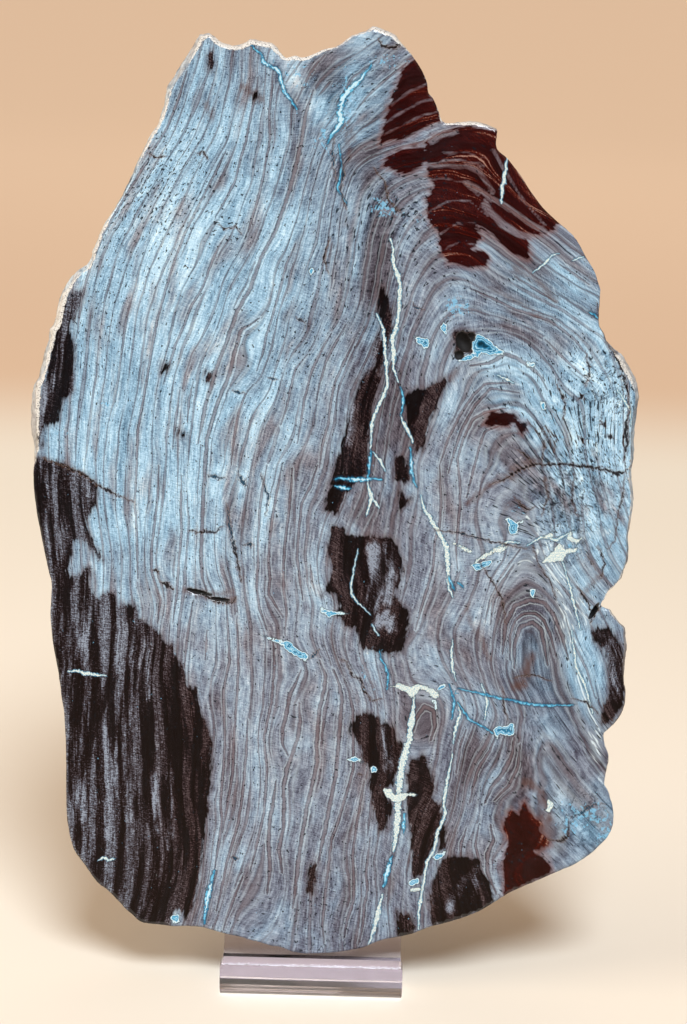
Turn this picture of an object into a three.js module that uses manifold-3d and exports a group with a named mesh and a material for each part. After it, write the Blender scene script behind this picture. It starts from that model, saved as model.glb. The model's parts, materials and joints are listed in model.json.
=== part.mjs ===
// A polished slab of petrified wood standing on a clear acrylic easel.
// Millimetres, +Z up. The polished face looks towards -Y and leans back; +X is to the viewer's right.
// The origin is at the middle of the footprint of the whole object's box, on the floor.
import * as THREE from "three";
import { mergeVertices } from "three/addons/utils/BufferGeometryUtils.js";
import Module from "manifold-3d";

const wasm = await Module();
wasm.setup();

// Driving dimensions.
const LEAN = 14; // degrees that the slab and the easel's panel lean back from upright
const GAP = 0.3; // clearance between the stone and the acrylic
const SLAB_THICKNESS = 16;
const SLAB_TURN = 1.6; // degrees that the slab stands turned, anticlockwise, in its own plane
const SHEET = 6; // thickness of the acrylic sheet
const EASEL_WIDTH = 60;
const EASEL_CENTRE = -3.4; // middle of the easel across, measured from the slab's datum line
const LIP_HEIGHT = 13.4;
const LEDGE_DEPTH = 25; // free depth of the ledge, from the lip to the panel
const PANEL_TOP = 112; // height of the easel's top above the floor
const FOOT_BACK = 118; // how far behind the front of the lip the rear leg ends
const FOOT_BEND = 1.6; // inside radius of the two lower bends
const TOP_BEND = 4; // inside radius of the bend at the top
const LIP_CORNER = 1.6; // radius of the lip's two upper corners

const rad = THREE.MathUtils.degToRad;

// The slab's edge as it is seen square on to the polished face, clockwise from the upper left.
// Each point is across, up, and the width of natural rim left of the polished face there.
const EDGE = [
  [-75, 247.8, 1.2], [-72.6, 251.6, 1.2], [-70, 256.5, 1.2], [-68.1, 260.6, 1.4], [-66, 265.8, 1.4],
  [-63.5, 270.9, 1.5], [-61.6, 274.4, 1.5], [-60, 276.8, 1.5], [-59.1, 279.6, 1.8], [-58, 283.2, 2],
  [-57.3, 286.6, 2.2], [-56.5, 290, 2.6], [-55.3, 291.7, 2.8], [-52.5, 296, 3], [-50, 300.1, 2.8],
  [-47.5, 304.2, 2.4], [-45.5, 307.2, 2], [-43, 307.8, 1.8], [-41, 307.6, 1.5], [-39.5, 306.5, 1.5],
  [-37, 304.7, 1.6], [-35, 304, 1.7], [-32, 304, 1.7], [-30, 305, 1.7], [-28.5, 306, 1.8],
  [-26, 305.8, 1.8], [-23, 305, 1.6], [-20.5, 304.5, 1.5], [-18.5, 302.9, 1.3], [-17, 300.9, 1],
  [-16, 299.6, 0.9], [-13, 300.4, 1], [-11, 299.7, 1], [-9, 300.2, 1], [-5, 301.8, 0.8],
  [-2, 302.8, 0.8], [0, 303.1, 0.9], [3, 305.3, 1.2], [5, 306.8, 1.2], [7, 307.6, 1.2],
  [10, 308.6, 1.3], [12.5, 310, 1.5], [14.5, 310, 1.6], [16.5, 309.2, 1.6], [18.5, 308.4, 1.6],
  [21, 307, 1.5], [22.5, 305, 1.3], [24.5, 302.7, 1], [27, 299.4, 0.8], [29, 296.3, 0.7],
  [30, 294.3, 0.6], [31.5, 290.6, 0.6], [32, 287.3, 0.7], [33.5, 285.8, 0.8], [34.8, 283, 0.8],
  [35.6, 280.6, 0.7], [36.1, 278.4, 0.5], [37, 277.7, 0.6], [38.6, 277.9, 0.9], [41, 278.1, 1.2],
  [44, 278.5, 1.4], [47, 278.5, 1.4], [50, 277.7, 1.3], [53, 276.5, 1.2], [54.8, 275.5, 1.1],
  [55.2, 274, 1], [54.8, 272, 0.7], [54.5, 270, 0.6], [54.8, 268.6, 0.6], [57, 266.8, 0.7],
  [58.5, 265.5, 0.8], [60, 263.7, 0.8], [62, 260.9, 0.7], [64, 257.8, 0.6], [66, 254.5, 0.6],
  [67.8, 252, 0.6], [70, 249.3, 0.7], [73, 246.5, 0.8], [75, 244.7, 0.8], [77.6, 242.4, 0.8],
  [80.1, 240, 0.7], [81.7, 237.7, 0.6], [84, 233.4, 0.6], [86.3, 229.6, 0.6], [87.6, 226.9, 0.6],
  [88.8, 223.4, 0.7], [89.5, 221.5, 0.8], [89.4, 219, 0.9], [89.2, 215, 1], [89, 211.5, 1],
  [89.2, 209.5, 1], [90.6, 207.4, 1.2], [91.6, 205.1, 1.4], [93.2, 203.1, 1.8], [95, 201.8, 2.2],
  [96.8, 200.3, 2.5], [98.3, 198, 2.6], [99.7, 195.1, 2.6], [101.2, 192.3, 2.5], [102.1, 189.5, 2.4],
  [102.5, 185.6, 2.3], [102.1, 182.6, 2.2], [101.6, 179.5, 2.2], [101.2, 175.9, 2.2], [100.9, 172.8, 2.2],
  [100.8, 168, 2.2], [100.6, 163.6, 2], [100, 160.4, 1.8], [100.2, 157, 1.8], [100.7, 151.8, 1.8],
  [100.4, 148.1, 1.7], [99.5, 143, 1.6], [98.8, 138.9, 1.5], [99, 135, 1.5], [98.5, 130.7, 1.4],
  [97.3, 127.6, 1.2], [96.3, 124.8, 1], [94.7, 123, 0.8], [93.2, 121.4, 0.7], [92, 120.6, 0.7],
  [91.2, 119.2, 0.7], [90.3, 117.6, 0.6], [89.3, 116.4, 0.5], [90.4, 115.9, 0.5], [91.9, 115.8, 0.9],
  [93.5, 114, 1.3], [96, 111, 1.5], [97.7, 109.2, 1.6], [98, 106, 1.6], [98.3, 101.6, 1.6],
  [97.7, 97.8, 1.5], [97.5, 94, 1.4], [97.6, 90, 1.3], [98, 87.6, 1.2], [98, 86, 1.2],
  [97.6, 83, 1.1], [96.5, 80, 1], [95.3, 78.1, 1], [93.5, 75.9, 0.9], [91.9, 74.4, 0.7],
  [90.4, 73.4, 0.5], [90.3, 71.8, 0.5], [91.2, 69.5, 0.8], [92.1, 67.4, 0.9], [92.3, 64.9, 0.9],
  [91.7, 62, 0.9], [91, 58.9, 0.8], [90.7, 56.6, 0.6], [91.7, 55.3, 0.8], [92.7, 52.8, 0.9],
  [93.5, 50, 0.9], [94, 45.9, 0.8], [93.5, 42.8, 0.7], [92.6, 40.5, 0.6], [91.2, 38.2, 0.6],
  [88.8, 35.9, 0.5], [86.3, 33.4, 0.5], [83.5, 31.4, 0.5], [80.1, 29.3, 0.5], [76.5, 27.8, 0.4],
  [73.2, 26.5, 0.4], [70.1, 25.1, 0.4], [66, 23.3, 0.4], [62.2, 21.7, 0.4], [58.9, 20.2, 0.4],
  [55.8, 18.3, 0.4], [52.2, 16, 0.4], [48.3, 13.8, 0.4], [44.2, 12.1, 0.4], [40.4, 10.8, 0.4],
  [35.9, 9.6, 0.4], [32.3, 8.7, 0.4], [30, 7.8, 0.5], [26.9, 6.5, 0.5], [23.8, 5.6, 0.5],
  [20, 4.9, 0.5], [15.9, 4.1, 0.5], [13.1, 3.1, 0.5], [10, 1.7, 0.5], [6.2, 0.9, 0.5],
  [2.6, 0.3, 0.5], [0, -0.1, 0.6], [-4.1, -0.5, 0.7], [-9.2, -0.6, 0.7], [-12, -0.4, 0.7],
  [-14.9, 0.3, 0.6], [-16.9, 1.3, 0.5], [-19, 2, 0.5], [-21, 2.1, 0.5], [-24.1, 3.1, 0.5],
  [-28, 4.1, 0.5], [-31.8, 5.2, 0.5], [-35.9, 6.1, 0.5], [-41.2, 7.5, 0.5], [-45, 8.5, 0.5],
  [-49.1, 8.7, 0.5], [-54.2, 8.8, 0.4], [-58.3, 9.3, 0.4], [-61.9, 9.7, 0.4], [-64.5, 10.2, 0.4],
  [-66.3, 11.3, 0.4], [-67.8, 12.9, 0.4], [-69.9, 14.6, 0.4], [-71.7, 16.7, 0.4], [-74, 19, 0.4],
  [-76, 21, 0.4], [-78.2, 22.5, 0.4], [-80.1, 24.4, 0.4], [-81.9, 26.9, 0.4], [-84.2, 30.1, 0.5],
  [-86.5, 33.1, 0.5], [-87.8, 35.4, 0.6], [-88.8, 39, 0.6], [-89.6, 43.1, 0.6], [-90, 47.2, 0.6],
  [-90.1, 55, 0.6], [-90.1, 61, 0.6], [-90.2, 67, 0.6], [-90.3, 72, 0.6], [-90.6, 76, 0.6],
  [-90.8, 80.4, 0.6], [-91.6, 85, 0.6], [-92.2, 90.1, 0.6], [-92.9, 94.7, 0.6], [-93.9, 99.9, 0.6],
  [-94.7, 105, 0.6], [-95.3, 110.1, 0.7], [-95.5, 113.5, 0.7], [-95.2, 118.8, 0.7], [-95.1, 124, 0.7],
  [-95.8, 126.8, 0.6], [-96.7, 130.9, 0.6], [-97.8, 136.3, 0.6], [-98.9, 141.9, 0.6], [-99.9, 147.1, 0.6],
  [-100.5, 151.7, 0.6], [-101, 157.3, 0.6], [-101.1, 162, 0.7], [-101, 166.4, 1.6], [-101.2, 169, 2.4],
  [-101.8, 172.8, 3], [-102.2, 176.9, 3.2], [-102.3, 181, 3.3], [-102, 184.6, 3.2], [-101.7, 188.2, 3],
  [-100.9, 191, 2.8], [-99.7, 192.7, 2.6], [-98.7, 195.9, 2.6], [-97.6, 201, 2.6], [-96.5, 205.1, 2.6],
  [-95.8, 208.9, 2.4], [-94.5, 210.1, 2.2], [-93.8, 212.8, 2.2], [-93, 217.4, 2.3], [-91.6, 221.5, 2.5],
  [-89.8, 224.9, 2.8], [-87.8, 227.4, 2.8], [-85.5, 229.1, 2.6], [-83.2, 230.5, 2.2], [-81.9, 232.6, 1.8],
  [-81.7, 234.4, 1.6], [-80.4, 236.9, 1.5], [-79.5, 240, 1.4], [-77.4, 243.8, 1.3],
];
const CENTRE_U = 3; // middle of the slab across and up, about which it is turned and from which it widens
const CENTRE_V = 147.3;

// Depth behind the polished face, the share of the rim that is left there, and how rough the edge is.
const LAYERS = [
  [0, 1, 0],
  [1.1, 0.5, 0.12],
  [3.2, 0.04, 0.1],
  [7, 0.12, 0.7],
  [11.5, 0.25, 0.9],
  [14.8, 0.45, 0.8],
  [16, 0.9, 0.5],
];
const WIDENING = 1 / 850; // the cut edge runs this much wider for each of the first millimetres of depth

// Small hollows in the polished face: across, up, half width, half height, depth, turn in degrees.
const HOLLOWS = [
  [43.4, 203.6, 3, 4, 3, 10],
  [41.6, 199.4, 1.8, 1.4, 1.6, 0],
  [-37.5, 118.6, 6.5, 1.1, 1.8, -6],
  [-45, 120.6, 4.5, 0.6, 1.2, -14],
  [86.6, 114.4, 3.2, 0.6, 3.5, 58],
];

// Uneven, knobbly edge of old bark and broken stone, repeatable.
function roughness(s, depth) {
  return (
    0.5 * Math.sin(s * 0.31 + depth * 0.35) +
    0.36 * Math.sin(s * 0.83 - depth * 0.62 + 1.7) +
    0.3 * Math.sin(s * 1.57 + depth * 0.9 + 4.1)
  );
}

function manifoldOf(geometry) {
  const g = geometry.clone();
  g.deleteAttribute("normal");
  g.deleteAttribute("uv");
  const merged = mergeVertices(g, 1e-4);
  return new wasm.Manifold(
    new wasm.Mesh({
      numProp: 3,
      vertProperties: new Float32Array(merged.attributes.position.array),
      triVerts: new Uint32Array(merged.index.array),
    }),
  );
}

function geometryOf(solid) {
  const m = solid.getMesh();
  const g = new THREE.BufferGeometry();
  const p = new Float32Array(m.numVert * 3);
  for (let i = 0; i < m.numVert; i++)
    p.set(m.vertProperties.subarray(i * m.numProp, i * m.numProp + 3), i * 3);
  g.setAttribute("position", new THREE.BufferAttribute(p, 3));
  g.setIndex(new THREE.BufferAttribute(new Uint32Array(m.triVerts), 1));
  g.computeVertexNormals();
  return g;
}

// Petrified wood slab: a stack of outlines through the thickness, closed by the polished face and
// the sawn back. Own frame: x across, y up the face, z out of the polished face.
function slabGeometry() {
  const n = EDGE.length;
  const at = EDGE.map(([u, v]) => new THREE.Vector2(u - CENTRE_U, v - CENTRE_V));
  const along = [0];
  for (let i = 1; i < n; i++) along.push(along[i - 1] + at[i].distanceTo(at[i - 1]));
  // The outline runs clockwise, so the inside lies to the right of each step.
  const inward = at.map((p, i) => {
    const step = at[(i + 1) % n].clone().sub(at[(i + n - 1) % n]).normalize();
    return new THREE.Vector2(step.y, -step.x);
  });
  const position = [];
  for (const [depth, share, rough] of LAYERS)
    for (let i = 0; i < n; i++) {
      const grow = 1 + Math.min(depth, 3.2) * WIDENING;
      const inset = EDGE[i][2] * share + Math.max(0, rough * (0.45 + roughness(along[i], depth)));
      position.push(
        at[i].x * grow + inward[i].x * inset,
        at[i].y * grow + inward[i].y * inset,
        -depth,
      );
    }
  const cap = (layer) =>
    THREE.ShapeUtils.triangulateShape(
      at.map((_, i) => {
        const k = (layer * n + i) * 3;
        return new THREE.Vector2(position[k], position[k + 1]);
      }),
      [],
    );
  const signedArea = (pts, [a, b, c]) =>
    (pts(b)[0] - pts(a)[0]) * (pts(c)[1] - pts(a)[1]) - (pts(c)[0] - pts(a)[0]) * (pts(b)[1] - pts(a)[1]);
  const index = [];
  for (const t of cap(0)) {
    const pts = (i) => [position[i * 3], position[i * 3 + 1]];
    index.push(...(signedArea(pts, t) > 0 ? t : [t[0], t[2], t[1]]));
  }
  const base = (LAYERS.length - 1) * n;
  for (const t of cap(LAYERS.length - 1)) {
    const pts = (i) => [position[(base + i) * 3], position[(base + i) * 3 + 1]];
    const up = signedArea(pts, t) > 0 ? t : [t[0], t[2], t[1]];
    index.push(base + up[0], base + up[2], base + up[1]);
  }
  for (let k = 0; k + 1 < LAYERS.length; k++)
    for (let i = 0; i < n; i++) {
      const j = (i + 1) % n;
      const a = k * n + i, b = k * n + j, c = (k + 1) * n + i, d = (k + 1) * n + j;
      if ((i + k) % 2) index.push(a, b, d, a, d, c);
      else index.push(a, b, c, b, d, c);
    }
  const g = new THREE.BufferGeometry();
  g.setAttribute("position", new THREE.Float32BufferAttribute(position, 3));
  g.setIndex(index);
  let solid = manifoldOf(g);
  for (const [u, v, w, h, deep, turn] of HOLLOWS) {
    const lump = new THREE.IcosahedronGeometry(1, 2);
    lump.scale(w, h, deep);
    lump.rotateZ(rad(turn));
    lump.translate(u - CENTRE_U, v - CENTRE_V, 0);
    solid = solid.subtract(manifoldOf(lump));
  }
  return geometryOf(solid);
}

// Acrylic easel: the side view of one bent sheet, drawn as a thick line with rounded bends.
// Side view axes: x is depth behind the lip's front, y is height.
function bentSheet(path, bends, thickness, steps) {
  // path is the middle line; bends[i] is the inside radius of the bend at path[i].
  const half = thickness / 2;
  const left = [], right = [];
  const dir = (a, b) => b.clone().sub(a).normalize();
  for (let i = 0; i < path.length; i++) {
    const p = path[i];
    if (i === 0 || i === path.length - 1) {
      const d = i === 0 ? dir(p, path[1]) : dir(path[i - 1], p);
      const side = new THREE.Vector2(-d.y, d.x);
      left.push(p.clone().addScaledVector(side, half));
      right.push(p.clone().addScaledVector(side, -half));
      continue;
    }
    const d0 = dir(path[i - 1], p), d1 = dir(p, path[i + 1]);
    const turn = Math.atan2(d0.x * d1.y - d0.y * d1.x, d0.dot(d1)); // positive turns left
    const sign = Math.sign(turn);
    const r = bends[i] + half;
    const back = r * Math.tan(Math.abs(turn) / 2);
    const start = p.clone().addScaledVector(d0, -back);
    const n0 = new THREE.Vector2(-d0.y, d0.x).multiplyScalar(sign);
    const centre = start.clone().addScaledVector(n0, r);
    for (let k = 0; k <= steps; k++) {
      const a = (turn * k) / steps;
      const out = n0.clone().multiplyScalar(-1).rotateAround(new THREE.Vector2(), a);
      const inner = centre.clone().addScaledVector(out, r - half);
      const outer = centre.clone().addScaledVector(out, r + half);
      left.push(sign > 0 ? inner : outer);
      right.push(sign > 0 ? outer : inner);
    }
  }
  return new THREE.Shape([...left, ...right.reverse()]);
}

function easelGeometry() {
  const h = SHEET / 2;
  const lean = rad(LEAN);
  // Front face of the panel starts at the back of the free ledge.
  const panelAt = (z) => SHEET + LEDGE_DEPTH + (z - SHEET) * Math.tan(lean) + h / Math.cos(lean);
  const topBend = TOP_BEND + h;
  const apexZ = PANEL_TOP + 9; // where the middle lines of panel and leg would meet
  const apex = new THREE.Vector2(panelAt(apexZ), apexZ);
  const foot = new THREE.Vector2(FOOT_BACK - 4, -8);
  const path = [
    new THREE.Vector2(h, LIP_HEIGHT),
    new THREE.Vector2(h, h),
    new THREE.Vector2(panelAt(h), h),
    apex,
    foot,
  ];
  const shape = bentSheet(path, [0, FOOT_BEND, FOOT_BEND, TOP_BEND, 0], SHEET, 7);
  const sheet = new THREE.ExtrudeGeometry(shape, { depth: EASEL_WIDTH, bevelEnabled: false, steps: 1 });
  // Extruded along z: turn it so that side view x becomes +Y, y becomes +Z and the width runs along X.
  const place = new THREE.Matrix4().makeBasis(
    new THREE.Vector3(0, 1, 0),
    new THREE.Vector3(0, 0, 1),
    new THREE.Vector3(1, 0, 0),
  );
  sheet.applyMatrix4(place);
  sheet.translate(-EASEL_WIDTH / 2, 0, 0);
  let solid = manifoldOf(sheet);

  // The rear leg's foot is cut level with the floor.
  const floor = new THREE.BoxGeometry(EASEL_WIDTH + 10, 60, 40);
  floor.translate(0, FOOT_BACK, -20);
  solid = solid.subtract(manifoldOf(floor));

  // Rounded upper corners of the lip.
  for (const side of [-1, 1]) {
    const corner = new THREE.Shape();
    const r = LIP_CORNER, x = side * (EASEL_WIDTH / 2);
    corner.moveTo(x + side, LIP_HEIGHT - r);
    corner.lineTo(x, LIP_HEIGHT - r);
    for (let k = 1; k <= 5; k++) {
      const a = (k / 5) * (Math.PI / 2);
      corner.lineTo(x - side * r * (1 - Math.cos(a)), LIP_HEIGHT - r + r * Math.sin(a));
    }
    corner.lineTo(x - side * r, LIP_HEIGHT + 1);
    corner.lineTo(x + side, LIP_HEIGHT + 1);
    const cut = new THREE.ExtrudeGeometry(corner, { depth: SHEET + 2, bevelEnabled: false, steps: 1 });
    cut.rotateX(Math.PI / 2); // shape's y to Z, depth to -Y
    cut.translate(0, SHEET + 1, 0);
    solid = solid.subtract(manifoldOf(cut));
  }
  return geometryOf(solid);
}

// Petrified wood slab: mostly grey agate with a high polish.
const slab = new THREE.Mesh(
  slabGeometry(),
  new THREE.MeshStandardMaterial({ color: 0x8d8e93, roughness: 0.16, metalness: 0 }),
);
slab.name = "petrified_wood_slab";

// Stand the slab on the ledge: turned a little in its plane, then leaned back on the panel.
const leaning = new THREE.Group();
leaning.rotation.x = Math.PI / 2 - rad(LEAN);
const turned = new THREE.Group();
turned.rotation.z = rad(SLAB_TURN);
turned.add(slab);
leaning.add(turned);

// Acrylic easel.
const easel = new THREE.Mesh(
  easelGeometry(),
  new THREE.MeshStandardMaterial({ color: 0xe9e6ee, roughness: 0.05, metalness: 0, transparent: true, opacity: 0.35 }),
);
easel.name = "acrylic_easel";
easel.position.x = EASEL_CENTRE;

const group = new THREE.Group();
group.add(leaning, easel);

// The back of the slab lies against the panel and its lowest point stands on the ledge.
{
  const lean = rad(LEAN);
  const back = SHEET + LEDGE_DEPTH - GAP / Math.cos(lean); // where the back's plane meets the ledge's top
  leaning.position.set(CENTRE_U, 0, 0);
  group.updateMatrixWorld(true);
  const low = new THREE.Box3().setFromObject(slab, true).min.z;
  leaning.position.z = SHEET + GAP - low;
  // The face's plane is SLAB_THICKNESS in front of the back's plane, which leans through (back, SHEET).
  const faceY = (z) => back + (z - SHEET) * Math.tan(lean) - SLAB_THICKNESS / Math.cos(lean);
  leaning.position.y = faceY(leaning.position.z);
}

// Move everything so that the box's footprint is centred on the origin.
group.updateMatrixWorld(true);
const box = new THREE.Box3().setFromObject(group, true);
group.position.set(-(box.min.x + box.max.x) / 2, -(box.min.y + box.max.y) / 2, -box.min.z);

export default group;
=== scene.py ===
import json
import math

import bpy
import numpy as np
from mathutils import Matrix, Vector, noise

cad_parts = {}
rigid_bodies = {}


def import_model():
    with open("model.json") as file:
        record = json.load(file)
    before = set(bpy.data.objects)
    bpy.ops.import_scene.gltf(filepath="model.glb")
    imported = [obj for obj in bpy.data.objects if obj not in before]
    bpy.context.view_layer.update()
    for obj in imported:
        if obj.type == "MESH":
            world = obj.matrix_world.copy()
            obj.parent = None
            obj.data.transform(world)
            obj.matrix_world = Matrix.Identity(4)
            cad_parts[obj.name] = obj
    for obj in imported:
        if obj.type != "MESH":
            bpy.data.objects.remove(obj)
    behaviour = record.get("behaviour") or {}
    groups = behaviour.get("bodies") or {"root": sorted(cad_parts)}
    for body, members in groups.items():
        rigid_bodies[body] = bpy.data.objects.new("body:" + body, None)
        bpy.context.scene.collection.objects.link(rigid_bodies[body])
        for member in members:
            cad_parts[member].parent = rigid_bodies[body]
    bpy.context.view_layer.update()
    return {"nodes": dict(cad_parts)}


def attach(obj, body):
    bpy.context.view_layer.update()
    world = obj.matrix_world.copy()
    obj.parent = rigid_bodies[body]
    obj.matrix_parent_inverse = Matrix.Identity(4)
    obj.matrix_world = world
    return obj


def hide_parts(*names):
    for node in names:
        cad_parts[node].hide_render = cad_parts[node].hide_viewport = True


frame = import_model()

# The camera looks square on to the polished face from 850 mm away, turned by the 1.6 degrees that the
# stone stands crooked on its stand. The picture reaches 170.7 mm up and down from the middle of the face.
LEAN = math.radians(14)
TURN = math.radians(1.6)
DATUM = Vector((0.00391, -0.0059497, 0.153897))
CAMERA_FAR = 0.85
HALF_PICTURE = 0.170667
OUT = Vector((0, -math.cos(LEAN), math.sin(LEAN)))
rise = Vector((0, math.sin(LEAN), math.cos(LEAN)))
ACROSS = Vector((math.cos(TURN), 0, 0)) + math.sin(TURN) * rise
UP = Vector((-math.sin(TURN), 0, 0)) + math.cos(TURN) * rise
axes = Matrix((ACROSS, UP, OUT)).transposed()
bpy.ops.object.camera_add(location=DATUM + CAMERA_FAR * OUT, rotation=axes.to_euler())
camera = bpy.context.object
camera.data.sensor_width = 24
camera.data.lens = camera.data.sensor_width / 2 * CAMERA_FAR / HALF_PICTURE
camera.data.clip_end = 200
bpy.context.scene.camera = camera
bpy.context.scene.view_settings.view_transform = "Standard"

# The petrified wood: one slab, 16 mm thick, sawn across a fossil log. The wall is the natural, broken
# outside of the log. The front was ground and polished until it shines, and the back was left as sawn.
# It is modelled in millimetres in its own frame: across, up, and out of the polished face.
THICK = 16
FRONT_CELL = 0.9
BACK_CELL = 1.8
CENTRE = (3, 147.3)
to_world = Matrix.Translation(DATUM) @ axes.to_4x4() @ Matrix.Scale(0.001, 4)


def only(thing):
    """Leaves one object selected and active."""
    bpy.ops.object.select_all(action="DESELECT")
    thing.select_set(True)
    bpy.context.view_layer.objects.active = thing


def within(points, ring):
    """True for the points inside a closed outline, by how often a line from each crosses it."""
    inside = np.zeros(len(points), bool)
    for (x0, y0), (x1, y1) in zip(ring, np.roll(ring, -1, 0)):
        spans = (y0 > points[:, 1]) != (y1 > points[:, 1])
        if spans.any():
            inside ^= spans & (points[:, 0] < (x1 - x0) * (points[:, 1] - y0) / (y1 - y0 + 1e-12) + x0)
    return inside


def beside(points, line, closed=False):
    """For each point: its distance from a line, which side it is on, the run along the line to the
    nearest place, and how far it lies beyond the line's ends."""
    line = np.asarray(line, float)
    starts, ends = (line, np.roll(line, -1, 0)) if closed else (line[:-1], line[1:])
    best = np.full(len(points), 1e9)
    side, run, past = np.ones(len(points)), np.zeros(len(points)), np.zeros(len(points))
    length = 0.0
    for i, (a, b) in enumerate(zip(starts, ends)):
        step = b - a
        size = math.hypot(*step)
        if size < 1e-9:
            continue
        step = step / size
        off = points - a
        t = off @ step
        held = np.clip(t, 0, size)
        far = np.hypot(off[:, 0] - held * step[0], off[:, 1] - held * step[1])
        near = far < best
        best[near] = far[near]
        side[near] = np.sign(step[0] * off[near, 1] - step[1] * off[near, 0] + 1e-12)
        run[near] = length + held[near]
        over = np.zeros(len(points))
        if not closed and i == 0:
            over = np.maximum(over, -t)
        if not closed and i == len(starts) - 1:
            over = np.maximum(over, t - size)
        past[near] = over[near]
        length += size
    return best, side, run, past, length


def sheet(ring, cell, depth):
    """A flat net of square cells that fills an outline at one depth, stopping short of its edge."""
    low, high = ring[:, :2].min(0), ring[:, :2].max(0)
    count = np.ceil((high - low) / cell).astype(int)
    bpy.ops.mesh.primitive_grid_add(x_subdivisions=int(count[0]), y_subdivisions=int(count[1]), size=1)
    net = bpy.context.object
    middle = (low + high) / 2
    net.data.transform(Matrix.Translation((*middle, -depth)) @ Matrix.Diagonal((*(count * cell), 1, 1)))
    co = np.empty(len(net.data.vertices) * 3)
    net.data.vertices.foreach_get("co", co)
    co = co.reshape(-1, 3)[:, :2]
    keep = within(co, ring)
    band = keep.copy()
    keep[band] &= beside(co[band], ring, True)[0] > 0.55 * cell
    wide, tall = count + 1
    grid = keep.reshape(tall, wide)
    cells = grid[:-1, :-1] & grid[1:, :-1] & grid[:-1, 1:] & grid[1:, 1:]
    while True:
        ring_of = np.pad(cells, 1)
        n, s, w, e = ring_of[2:, 1:-1], ring_of[:-2, 1:-1], ring_of[1:-1, :-2], ring_of[1:-1, 2:]
        corner = (ring_of[2:, 2:] & ~n & ~e) | (ring_of[:-2, 2:] & ~s & ~e)
        corner |= (ring_of[2:, :-2] & ~n & ~w) | (ring_of[:-2, :-2] & ~s & ~w)
        kept = cells & ((n | s) & (w | e)) & ~corner
        if (kept == cells).all():
            break
        cells = kept
    keeps = cells.ravel()
    only(net)
    bpy.ops.object.mode_set(mode="EDIT")
    bpy.ops.mesh.select_all(action="DESELECT")
    bpy.ops.object.mode_set(mode="OBJECT")
    order = np.empty(len(net.data.polygons) * 3)
    net.data.polygons.foreach_get("center", order)
    order = order.reshape(-1, 3)
    column = np.floor((order[:, 0] - (middle[0] - count[0] * cell / 2)) / cell).astype(int)
    row = np.floor((order[:, 1] - (middle[1] - count[1] * cell / 2)) / cell).astype(int)
    net.data.polygons.foreach_set("select", ~keeps[row * count[0] + column])
    bpy.ops.object.mode_set(mode="EDIT")
    bpy.ops.mesh.delete(type="FACE")
    bpy.ops.mesh.select_all(action="DESELECT")
    bpy.ops.object.mode_set(mode="OBJECT")
    return net


slab = bpy.data.objects.new("petrified_wood", frame["nodes"]["petrified_wood_slab"].data.copy())
bpy.context.scene.collection.objects.link(slab)
slab.data.materials.clear()
slab.data.transform(to_world.inverted())
only(slab)
bpy.ops.object.mode_set(mode="EDIT")
bpy.ops.mesh.select_all(action="SELECT")
bpy.ops.mesh.remove_doubles(threshold=0.001)
bpy.ops.mesh.select_mode(type="FACE")
bpy.ops.mesh.select_all(action="DESELECT")
bpy.ops.object.mode_set(mode="OBJECT")
for face in slab.data.polygons:
    depths = [-slab.data.vertices[i].co.z for i in face.vertices]
    face.select = max(depths) < 0.01 or min(depths) > THICK - 0.01
bpy.ops.object.mode_set(mode="EDIT")
bpy.ops.mesh.delete(type="FACE")
# What is left of the front's small hollows comes off too; they are sunk again below, more finely.
bpy.ops.object.mode_set(mode="OBJECT")
lowest = min(range(len(slab.data.vertices)), key=lambda i: slab.data.vertices[i].co.y)
slab.data.vertices[lowest].select = True
bpy.ops.object.mode_set(mode="EDIT")
bpy.ops.mesh.select_mode(type="VERT")
bpy.ops.mesh.select_linked()
bpy.ops.mesh.select_all(action="INVERT")
bpy.ops.mesh.delete(type="VERT")
bpy.ops.mesh.select_all(action="SELECT")
bpy.ops.mesh.subdivide(number_cuts=2, smoothness=0.9)
bpy.ops.object.mode_set(mode="OBJECT")

# The rough wall: knobs and pits of a few millimetres and finer chips, least at the two sawn edges.
wall = slab.data
normals = [v.normal.copy() for v in wall.vertices]
rim_edges = {edge.key: 0 for edge in wall.edges}
for face in wall.polygons:
    for key in face.edge_keys:
        rim_edges[key] += 1
open_verts = {v for key, used in rim_edges.items() if used == 1 for v in key}
for v in wall.vertices:
    depth = -v.co.z
    front = v.index in open_verts and depth < THICK / 2
    back = v.index in open_verts and depth >= THICK / 2
    place = v.co.copy()
    knobs = noise.fractal(place / 7, 0.9, 2.1, 3)
    chips = noise.fractal(place / 1.9 + Vector((9, 4, 1)), 0.8, 2.2, 2)
    rough = min(1, max(0, depth / 4)) * min(1, max(0.35, (THICK - depth) / 3))
    flat = Vector((normals[v.index].x, normals[v.index].y, 0)).normalized()
    if front:
        v.co -= flat * (0.03 + 0.16 * abs(chips) + 0.1 * abs(knobs))
    else:
        sheer = 0.55 * min(1, depth / 0.8)
        v.co -= flat * (sheer + rough * (0.2 + 0.5 * abs(knobs)) + (0.08 + 0.4 * rough) * abs(chips))
    v.co.z = 0 if front else -THICK if back else min(-0.05, max(0.05 - THICK, v.co.z))


def open_ring(depth):
    """The wall's edge at the front or the back, as one closed line of points."""
    step = {}
    for (a, b), used in rim_edges.items():
        if used == 1 and abs(-wall.vertices[a].co.z - depth) < 0.01:
            step.setdefault(a, []).append(b)
            step.setdefault(b, []).append(a)
    first = min(step)
    line, last, here = [first], None, first
    while True:
        after = [n for n in step[here] if n != last]
        last, here = here, after[0]
        if here == first:
            return np.array([wall.vertices[i].co[:2] for i in line])
        line.append(here)


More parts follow.
